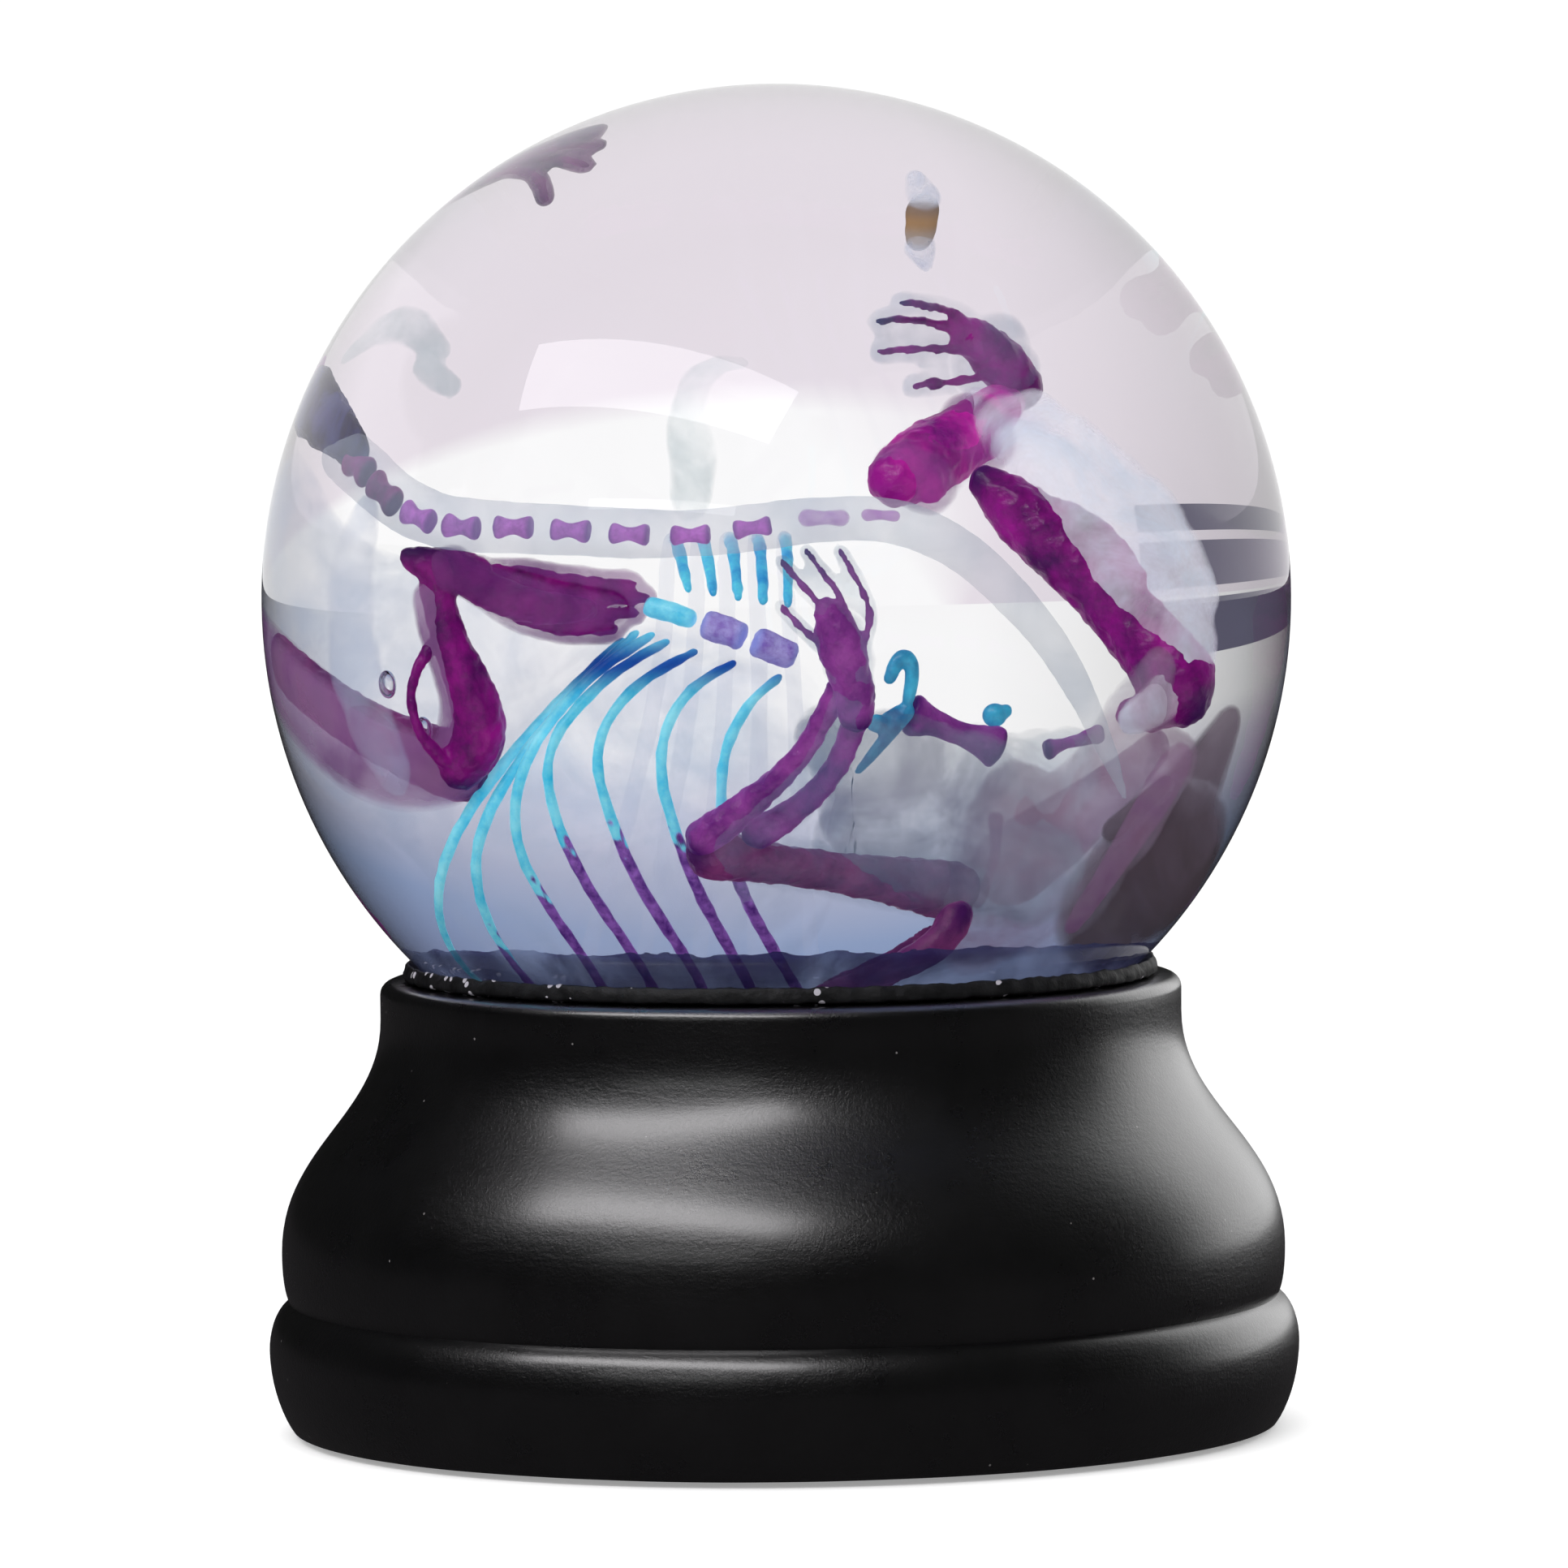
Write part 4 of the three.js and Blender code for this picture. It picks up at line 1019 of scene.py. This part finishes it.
def skin(name, parts, colour, voxel=0.5, smooth=6, rough=0.6, body="specimen"):
    """Joins the parts into one closed, softened skin."""
    bpy.ops.object.select_all(action="DESELECT")
    for part in parts:
        part.select_set(True)
    bpy.context.view_layer.objects.active = parts[0]
    if len(parts) > 1:
        bpy.ops.object.join()
    piece = bpy.context.object
    piece.name = name
    bpy.ops.object.transform_apply(location=True, rotation=True, scale=True)
    apply(piece, "REMESH", mode="VOXEL", voxel_size=voxel * MM)
    apply(piece, "SMOOTH", factor=0.5, iterations=smooth)
    if rough:
        apply(piece, "DISPLACE", texture=WISP, texture_coords="LOCAL", strength=rough * MM, mid_level=0.5)
    keep_inside(piece)
    bpy.ops.object.shade_smooth()
    piece.data.materials.clear()
    piece.data.materials.append(colour)
    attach(piece, body)
    return piece


print("tissue helpers ready")

# %% [markdown]
# A CAD bone is a plain faceted rod. Its merged copy is subdivided until it is round and roughened with a fine
# noise, so each fine bone lies where the plain one did. A bone with a real shape of its own is grown from
# strands instead, joined to the copy or in its place, and remeshed. Its points then get their attribute.

# %% Growing a fine bone from a plain one
BONE_GRAIN = bpy.data.textures.new("bone_grain", "CLOUDS")
BONE_GRAIN.noise_scale = 0.0011
BONE_GRAIN.noise_depth = 2
BONE_VOXEL = 0.26 * MM


def carry(piece, name, numbers):
    """Gives each point of a piece a number that its material reads."""
    layer = piece.data.attributes.new(name, "FLOAT", "POINT")
    layer.data.foreach_set("value", np.clip(numbers, 0, 1).astype(np.float32))


def grown(node, dye, level=2, grain=0.25, swell=0.05, radius=1.5, more=(), whole=False):
    """The fine bone that stands for a CAD bone. Lengths are in millimetres.

    More parts are grown onto it, or they make up the whole bone.
    """
    parts = [strand(places, radii) for places, radii in more]
    if whole:
        piece = parts.pop(0)
        piece.name = node + "_fine"
    else:
        piece = copy_of(node, node + "_fine")
        apply(piece, "SUBSURF", levels=level, render_levels=level)
    if more:
        only(piece)
        for part in parts:
            part.select_set(True)
        bpy.ops.object.join()
        apply(piece, "REMESH", mode="VOXEL", voxel_size=BONE_VOXEL)
        apply(piece, "SMOOTH", factor=0.5, iterations=4)
    apply(piece, "DISPLACE", texture=BONE_GRAIN, texture_coords="LOCAL", strength=grain * MM,
          mid_level=0.5 - swell / grain)
    keep_inside(piece)
    bpy.ops.object.shade_smooth()
    spots = points_of(piece)
    middle = spots.mean(0)
    axis = np.linalg.svd(spots - middle, full_matrices=False)[2][0]
    along = (spots - middle) @ axis
    to_end = np.minimum(along - along.min(), along.max() - along)
    carry(piece, "end", 1 - to_end / (radius * MM))
    piece.data.materials.append(dye)
    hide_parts(node)
    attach(piece, "specimen")
    return piece


print("bone helpers ready")

# %% Tail bones
tail_nodes = sorted(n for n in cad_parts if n.startswith("caudal"))
for node in tail_nodes:
    near_body = node in ("caudal_01", "caudal_02")
    grown(node, deep_bone if near_body else tail_bone, grain=0.2, radius=0.7,
          swell=0.3 if near_body else 0.05)
print("tail bones:", len(tail_nodes))

# %% [markdown]
# The CAD spine is four plain rods. A row of vertebrae replaces each: the rod's course is read from its
# points, and a waisted strand with a short spine on it is set at every step. The girdles, jaw and breastbone
# keep their plain shape, and the left shoulder blade gets its curved edge from one strand.

# %% Spine, girdles, jaw and breastbone
VERTEBRAE = {"sacrum": 3, "lumbar_spine": 6, "thoracic_spine": 10, "cervical_spine": 6}


def spine_parts(node, count):
    """Vertebrae along a plain rod, each waisted, with a spine that points away from the globe's middle."""
    rod = copy_of(node, "rod")
    spots = (points_of(rod) - np.array(CENTRE)) / MM
    axis = np.linalg.svd(spots - spots.mean(0), full_matrices=False)[2][0]
    along = (spots - spots.mean(0)) @ axis
    order = (along - along.min()) / np.ptp(along)
    ends = [spots[order < 0.12].mean(0), spots[order > 0.88].mean(0)]
    halfway = np.abs(order - 0.5) < 0.3
    centre = spots[halfway].mean(0) if np.any(halfway) else sum(ends) / 2
    bpy.data.objects.remove(rod)

    def course(part):
        start = ends[0] * (1 - part) * (1 - 2 * part)
        return start + centre * 4 * part * (1 - part) + ends[1] * part * (2 * part - 1)

    line = np.array([course(part) for part in np.linspace(0, 1, 60)])
    radius = np.mean(np.linalg.norm(spots[:, None] - line[None], axis=2).min(1))
    parts = []
    for number in range(count):
        first, last = course((number + 0.37) / count), course((number + 0.63) / count)
        waist = course((number + 0.5) / count)
        outward = waist / np.linalg.norm(waist)
        parts.append(([first, waist, last], [0.95 * radius, 0.6 * radius, 0.95 * radius]))
        parts.append(([waist, waist + outward * 1.5 * radius], [0.4 * radius, 0.22 * radius]))
    return parts


LARGE = {
    "sacrum": pink_bone, "lumbar_spine": deep_bone, "thoracic_spine": deep_bone, "cervical_spine": deep_bone,
    "pelvis_left": deep_bone, "pelvis_right": deep_bone, "sternebra_1": sternum_bone,
    "sternebra_2": sternum_bone, "manubrium": pink_bone, "lower_jaw": hazy_bone, "scapula_left": dusky_bone,
    "scapula_right": hazy_bone, "clavicle_left": hazy_bone, "clavicle_right": pink_bone}
SHOULDER_CURVE = [([(14.4, -20.0, -25.2), (13.3, -21.0, -28.4), (8.4, -21.0, -30.6), (2.9, -20.0, -31.9)],
                   [1.5, 1.7, 1.3, 0.6])]
for node, colour in LARGE.items():
    if node in VERTEBRAE:
        grown(node, colour, grain=0.3, radius=1.0, more=spine_parts(node, VERTEBRAE[node]), whole=True)
    else:
        grown(node, colour, grain=0.35, radius=1.0, more=SHOULDER_CURVE if node == "scapula_left" else ())
print("spine and girdles:", len(LARGE))

# %% [markdown]
# Limb bones swell at their joints, and the shin is two bones with a gap between them. Such shapes are built
# up from strands, each a row of places in millimetres from the globe's centre with its radii. A paw, or the
# right forearm, keeps the copy of its CAD bone and is thickened by a strand. The rest are all strand.

# %% Limbs
LIMBS = {
    "humerus_left": dusky_bone, "radius_left": pink_bone, "ulna_left": pink_bone,
    "humerus_right": deep_bone, "forearm_right": vivid_bone, "femur_left": dusky_bone,
    "tibia_left": deep_bone, "femur_right": deep_bone, "tibia_right": deep_bone, "forepaw_left": pink_bone,
    "forepaw_right": deep_bone, "hind_paw_left": deep_bone, "hind_paw_right": deep_bone}
BUILT_UP = {
    "humerus_right": [([(29.4, -4.4, -6.4), (26.4, -4.2, -3), (23, -4, 0.4), (20, -3.9, 3.4),
                        (16.2, -3.8, 6.6), (14.6, -3.4, 8)],
                       [3.4, 2.7, 2.3, 2.5, 2.2, 1.3]),
                      ([(25.4, -4.4, 1.2), (22.6, -4.4, 4.6), (19.6, -4.2, 6.2)], [1.2, 1.5, 0.9]),
                      ([(29.4, -4.4, -6.4), (27.4, -5, -8.4), (25.2, -5.4, -8.2)], [2.2, 1.8, 1.0])],
    "forearm_right": [([(8.2, -3, 8.2), (9.8, 0.4, 9), (12.4, 4, 10.2), (14.6, 6.4, 12)],
                       [2.0, 2.6, 2.2, 1.4])],
    "humerus_left": [([(-5.4, -26.2, -19.8), (-1, -24, -20.3), (5, -20.4, -20.9), (10, -16, -21.4),
                       (13, -13, -21.8)],
                      [2.4, 1.7, 1.6, 2.1, 2.5])],
    "radius_left": [([(7.2, -31.4, -6.4), (5.6, -29.6, -11.6), (3, -28.2, -15.4), (-1.6, -27, -18)],
                     [1.1, 0.95, 0.95, 1.5])],
    "ulna_left": [([(5, -32.2, -6.2), (3, -31.4, -10.4), (0.2, -30.4, -13.8), (-6.2, -27.8, -18.6)],
                   [1.0, 0.9, 1.0, 1.7])],
    "tibia_left": [([(-28.7, -25, 3), (-28.2, -25.2, -0.8), (-25.8, -25.2, -5.6), (-24.2, -24.4, -10),
                     (-26.8, -22.6, -12.8)],
                    [1.8, 1.5, 2.1, 2.7, 2.2]),
                   ([(-31.6, -25, 5), (-28.6, -25.8, 4), (-25, -25.6, 3.4)], [1.0, 1.9, 1.7]),
                   ([(-29.4, -25.2, -2.6), (-32, -25.2, -6), (-31.4, -24.8, -10), (-28.4, -24, -12.4)],
                    [0.6, 0.5, 0.5, 0.8])],
    "femur_left": [([(-41, -4, -4.6), (-37, -11.6, -7.8), (-31.4, -17, -11), (-26.4, -20.4, -12.6)],
                    [2.6, 2.4, 2.6, 3.2])],
    "hind_paw_left": [([(-27.6, -26, 4.2), (-24, -26.6, 1.8), (-19, -25.4, 0.4), (-15, -23.4, 0.4)],
                       [1.5, 1.6, 1.5, 0.9])],
    "forepaw_left": [([(6.6, -31.8, -8.4), (6.2, -32.6, -5.2), (5.2, -33.4, -1.8), (4.4, -33.8, 0.4)],
                      [1.6, 1.8, 2.1, 1.2])],
    "forepaw_right": [([(15.4, 8, 12.8), (13.8, 6.8, 15.4), (12.2, 5.2, 17)], [1.6, 1.7, 1.0])],
}
for node, colour in LIMBS.items():
    grown(node, colour, grain=0.45, radius=2.2, more=BUILT_UP.get(node, ()),
          whole=node in BUILT_UP and "paw" not in node and node != "forearm_right")
print("limb bones:", len(LIMBS))

# %% [markdown]
# Each left rib changes from cartilage to bone at its own height, over an uneven stretch. A right rib lies
# deeper, and turns pale with its depth instead. Towards the breastbone the dye is darkest.

# %% Ribs
RIB_JOINTS = {"rib_left_1": -17.5, "rib_left_2": -18.5, "rib_left_3": -18.5, "rib_left_4": -19,
              "rib_left_5": -23.5, "rib_left_6": -28.5, "rib_left_7": -40}
rib_nodes = sorted(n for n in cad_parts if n.startswith("rib_") or n == "xiphoid")
for node in rib_nodes:
    far = "right" in node
    rib = grown(node, far_rib if far else rib_finish, grain=0.3, swell=0.14)
    spots = (points_of(rib) - np.array(CENTRE)) / MM
    joint = RIB_JOINTS.get(node, -12.0)
    carry(rib, "bony", (spots[:, 1] + 13) / 12 if far else 0.5 + (joint - spots[:, 2]) / 4.0 +
          0.4 * np.sin(4.4 * spots[:, 2] + 3 * spots[:, 0]))
    darkest = 0.15 if node == "xiphoid" else 1.0
    middle_height, spread = (-4, 3.2) if "left" in node else (0, 4)
    carry(rib, "front", darkest * (1 - np.abs(spots[:, 2] - middle_height) / spread))
print("ribs, with the breastbone's tip:", len(rib_nodes))

# %% [markdown]
# The tail hangs in a clear sheath that is thickest near the body and goes on past the last stained bone to a
# thin tip. Two fainter bones inside it carry the row on.

# %% Tail sheath
TAIL = [(-38, -15, 14), (-36.5, -21, 12.8), (-33, -27.4, 9.4), (-28, -33, 8.1), (-23, -36, 8.2),
        (-15, -39, 7.7), (-7, -41, 7.5), (1, -41.4, 8.5), (9.5, -40, 9.2), (16, -38, 6.6), (22.5, -36, 0),
        (26.5, -33, -6), (29, -30.5, -12), (31, -27, -17)]
TAIL_RADII = [2.6, 2.8, 2.5, 2.5, 2.4, 2.3, 2.2, 2.1, 2.1, 2.0, 1.8, 1.5, 1.1, 0.5]
sheath = skin("tail_sheath", [strand(TAIL, TAIL_RADII)], sheath_skin, voxel=0.45, smooth=8, rough=0.35)
skin("tail_tip_bones", [
    strand([(2.8, -40, 8.8), (4.3, -40, 8.8), (5.8, -40, 8.8)], [0.9, 0.55, 0.85]),
    strand([(8.1, -39.5, 9), (9.3, -39.5, 9), (10.5, -39.5, 8.9)], [0.65, 0.4, 0.6]),
], faint_bone, voxel=0.2, smooth=2, rough=0.15)
print("tail sheath faces:", len(sheath.data.polygons))

# %% [markdown]
# The left thigh, foot and tail root keep some stained flesh, and the hip a thin haze. The far hind paw shows
# only as a dark hand-like shape at the globe's edge.

# %% Legs, hips and the left foot
skin("thigh_flesh_left", [
    strand([(-45, 3, -3), (-42, -4, -6), (-38.5, -11, -9.5), (-33, -17, -13), (-27.5, -20, -13)],
           [3.5, 4.6, 5, 4.6, 3.4]),
    strand([(-29.5, -25, 1.5), (-28.5, -24.5, -3), (-26, -24, -8), (-26.5, -21, -12.5)],
           [1.9, 1.7, 1.9, 3.2]),
], thigh_flesh, voxel=0.5, smooth=8, rough=0.5)
skin("tail_root_flesh", [
    strand([(-42, -4, 19), (-40, -9, 17.6), (-38.4, -14, 16), (-36.6, -19, 13.8)], [3.4, 3.2, 2.6, 1.6]),
], root_flesh, voxel=0.4, smooth=4, rough=1.2)
skin("hind_foot_flesh_left", [
    swollen("hind_paw_left", 0.9),
    strand([(-28.5, -26.4, 4.4), (-24, -27.2, 2.2), (-18, -26, 0.2), (-13, -23.6, 0.2)],
           [1.6, 2.4, 2.5, 1.6]),
], violet_flesh, voxel=0.4, smooth=6, rough=0.4)
skin("hip_haze", [
    strand([(-36, -22, 9), (-37.5, -20, 1), (-36, -20, -7), (-33.5, -22, -14)], [2.2, 3.4, 3.8, 2.6]),
], body_haze, voxel=0.7, smooth=8, rough=1.4)
skin("hind_paw_skin_right", [
    swollen("hind_paw_right", 0.7),
    strand([(-28.6, 17, 26.6), (-28, 10, 31), (-24.6, 3.5, 34.4), (-19, 0.5, 36.4)], [3, 2.6, 2.4, 2.6]),
    strand([(-22, 1.6, 35.4), (-17, 0.4, 37), (-14.4, 0.2, 37.6)], [2.0, 2.2, 1.6]),
], paw_shade, voxel=0.4, smooth=5, rough=0.4)
print("hind limbs clothed")

# %% [markdown]
# The chest is a large faint cloud. The left forelimb is sheathed in thin clear flesh, and the right shoulder
# in the thickest and milkiest of all.

# %% Chest and forelimbs
skin("chest_haze", [
    blob((-11, -7, -15.5), (17, 18.5, 16.5), (0, 14, 0)), blob((-3, -16, -14), (9, 11, 12)),
    strand([(-24, -4, -8), (-34, 2, -4), (-38, 4, 6)], [13, 9, 7]),
], body_haze, voxel=1.2, smooth=10, rough=2.0)
skin("forepaw_skin_left", [
    swollen("forepaw_left", 0.55), strand([(6, -32, -4), (5.6, -32.6, -1.4)], [2.6, 2.1]),
], paw_skin, voxel=0.35, smooth=4, rough=0.2)
skin("arm_flesh_left", [
    strand([(6.4, -32, -6), (4.6, -30.4, -11.4), (1.4, -29, -15.2), (-3.8, -27.6, -18.4)],
           [2.2, 2.4, 2.6, 2.6]),
    strand([(-4, -26, -19.4), (3, -21.8, -20.6), (9, -17, -21.2), (13, -13, -21.8)], [2.8, 2.7, 2.8, 3.4]),
], paw_skin, voxel=0.5, smooth=8, rough=0.7)
skin("forepaw_skin_right", [
    swollen("forepaw_right", 0.75), blob((13.8, 6.6, 15), (2.6, 2.4, 3.2), (0, 30, 0)),
], paw_skin, voxel=0.35, smooth=4, rough=0.3)
skin("shoulder_cloud_right", [
    strand([(13, 6, 12), (17, 1, 10), (21, -2, 6), (26, -4, 1.5), (30, -4, -3)], [1.8, 3.4, 3.8, 4.0, 3.0]),
    strand([(17, 3, 13), (22, 0, 9), (27, -2, 5), (31, -3, 0)], [1.2, 2.4, 2.8, 1.8]),
    strand([(31, -4, -4), (29, -6, -7), (26, -8, -9)], [2.0, 2.4, 1.4]),
], milky, voxel=0.55, smooth=10, rough=1.1)
skin("forearm_muscle_right", [swollen("forearm_right", 1.1)], violet_flesh, voxel=0.4, smooth=5, rough=0.5)
print("chest and forelimbs clothed")

# %% [markdown]
# The head lies low on the right, its back to the viewer's right. The braincase shows as a brown-grey dome
# behind a haze of tissue. The skull's copy, a blob and two strands are remeshed into one form, and the haze
# over the head, jaw and throat is left loose and uneven.

# %% Head
dome = skin("skull_fine", [
    swollen("skull", 0.1), blob((28.6, 0.5, -20), (6.4, 5.6, 7.6), (0, -25, 0)),
    strand([(28.4, -1, -16.6), (31.6, -2.2, -12.6), (34, -3, -9.6)], [4.2, 2.9, 1.7]),
    strand([(24.5, -5.6, -17), (29, -6.4, -14)], [1.2, 1.0]),
], skull_dome, voxel=0.4, smooth=4, rough=0.4)
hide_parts("skull")
skin("head_haze", [
    strand([(21, -10, -24), (24, -11, -17), (27, -11, -10), (29, -10, -5)], [4.5, 5.5, 4.2, 2.2]),
    strand([(15, -12, -26), (17, -14, -20), (18, -15, -14)], [4.0, 4.6, 3.0]),
    swollen("lower_jaw", 1.0),
], head_haze, voxel=0.8, smooth=8, rough=1.8)
skin("throat_haze", [
    strand([(4, -20, -10), (10, -17, -13), (17, -13, -15), (22, -12, -12)], [3.6, 5.4, 5.4, 3.6]),
    strand([(6, -19, -17), (13, -16, -20), (20, -13, -21)], [4.0, 5.0, 5.0]),
], grey_haze, voxel=0.7, smooth=8, rough=2.0)
print("head faces:", len(dome.data.polygons))

# %% [markdown]
# Small scraps of blue cartilage lie about the collarbones, and a few pale teal shreds float on the left.

# %% Small cartilages
skin("collar_cartilage", [
    strand([(8.6, -19, -5.4), (9.4, -18.6, -3.4), (10.6, -18.2, -4.2), (10, -18.4, -7)],
           [0.5, 0.7, 0.6, 0.5]),
    strand([(9.8, -18.2, -8), (8, -19.6, -10.4), (6.2, -20.4, -12.6)], [0.8, 0.5, 0.3]),
    strand([(9.4, -18.2, -8), (7, -19, -9)], [0.7, 0.3]), blob((7.6, -19.4, -8.8), (0.9, 0.6, 0.8)),
], blue_gristle, voxel=0.2, smooth=3, rough=0.3)
skin("collar_ball", [
    blob((16.2, -13.6, -8.3), (0.95, 0.9, 0.9)), blob((17, -13.3, -8), (0.5, 0.5, 0.5)),
], blue_gristle, voxel=0.15, smooth=2, rough=0.2)
skin("teal_shreds", [
    strand([(-33, 0, 19), (-29.5, 0, 20.6), (-26, 0.6, 20), (-23, 1, 17.6)], [0.8, 1.6, 1.8, 0.9]),
    strand([(-24.6, 0, 16.6), (-22.4, 0, 15)], [1.2, 0.8]),
], teal_shred, voxel=0.4, smooth=5, rough=1.2)
skin("teal_curl", [
    strand([(-5.4, 7, 6), (-5, 7, 9), (-6, 7, 11.5), (-4.4, 7, 14.6), (-2, 7, 14.6)],
           [1.6, 1.8, 1.2, 1.0, 0.6]),
], teal_shred, voxel=0.4, smooth=5, rough=1.0)
print("small cartilages ready")

# %% [markdown]
# Stained dregs have settled in a ring round the neck, where the ball meets the rim. They are turned like the
# base, then roughened, and show as the dark blue band along the globe's foot.

# %% Dregs
dregs = turned("dregs", [(28.4 * MM, inside(0, 0, -37.2).z), (31.4 * MM, inside(0, 0, -34.6).z),
                         (34.6 * MM, inside(0, 0, -31.2).z), (33.4 * MM, inside(0, 0, -30.4).z),
                         (30 * MM, inside(0, 0, -33.6).z), (27 * MM, inside(0, 0, -36.6).z),
                         (28.4 * MM, inside(0, 0, -37.2).z)], 128)
skin("dregs_ring", [dregs], dreg_blue, voxel=0.6, smooth=3, rough=1.2)
print("dregs ready")

# %% [markdown]
# Two small bubbles of air are caught beside the leg. Air in glycerin has an index below one, so each shows as
# a dark ring with a bright middle.

# %% Bubbles
for number, (spot, size) in enumerate([((-33.3, -22, -6), 1.25), ((-30.2, -24, -9.8), 1.15)], 1):
    bubble = blob(spot, (size * 0.8, size * 0.8, size))
    bubble.name = f"bubble_{number}"
    apply(bubble, "SUBSURF", levels=1, render_levels=1)
    bpy.ops.object.shade_smooth()
    bubble.data.materials.append(air)
    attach(bubble, "specimen")
print("bubbles ready")

# %% [markdown]
# A loose flake floats above the paw: amber in its middle, with pale frayed ends.

# %% Flake
flake_low, flake_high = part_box("drifting_chip")
# The flake gives off a little light in its own colours: a painted glow.
flake_finish, tree, shader = finish("amber_flake", Roughness=0.5, Emission_Strength=0.15)
rise = add(tree, "ShaderNodeSeparateXYZ", links={0: object_place(tree)}).outputs["Z"]
share_up = add(tree, "ShaderNodeMapRange", {"From Min": flake_low.z, "From Max": flake_high.z},
               {"Value": rise}).outputs[0]
frayed = add(tree, "ShaderNodeTexNoise", {"Scale": 900.0, "Detail": 4.0}, {"Vector": object_place(tree)})
amber = ramp(tree, share_up, [
    (0.0, (0.45, 0.55, 0.7)), (0.2, (0.5, 0.42, 0.36)), (0.5, (0.48, 0.27, 0.1)), (0.72, (0.3, 0.19, 0.12)),
    (0.85, (0.7, 0.75, 0.85)), (1.0, (0.85, 0.9, 0.95))], smooth=True)
tree.links.new(amber, shader.inputs["Base Color"])
tree.links.new(amber, shader.inputs["Emission Color"])
THINNING = [(0.0, 0.25), (0.25, 0.85), (0.7, 0.9), (0.85, 0.3), (1.0, 0.12)]
thinning = ramp(tree, share_up, THINNING, smooth=True)
tree.links.new(thinning, shader.inputs["Alpha"])
bump(tree, shader, frayed.outputs["Fac"], 0.6, 0.0003)
flake = copy_of("drifting_chip", "amber_flake")
apply(flake, "SUBSURF", levels=2, render_levels=2)
apply(flake, "DISPLACE", texture=WISP, texture_coords="LOCAL", strength=0.9 * MM, mid_level=0.5)
bpy.ops.object.shade_smooth()
flake.data.materials.append(flake_finish)
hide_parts("drifting_chip")
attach(flake, "chip")
skin("flake_fray", [
    strand([(10.3, 4, 27), (9.9, 4, 28.4)], [1.4, 0.8]), strand([(9.8, 4, 23), (10.1, 4, 21.8)], [1.3, 0.6]),
], flake_pale, voxel=0.25, smooth=5, rough=0.6, body="chip")
print("flake ready")
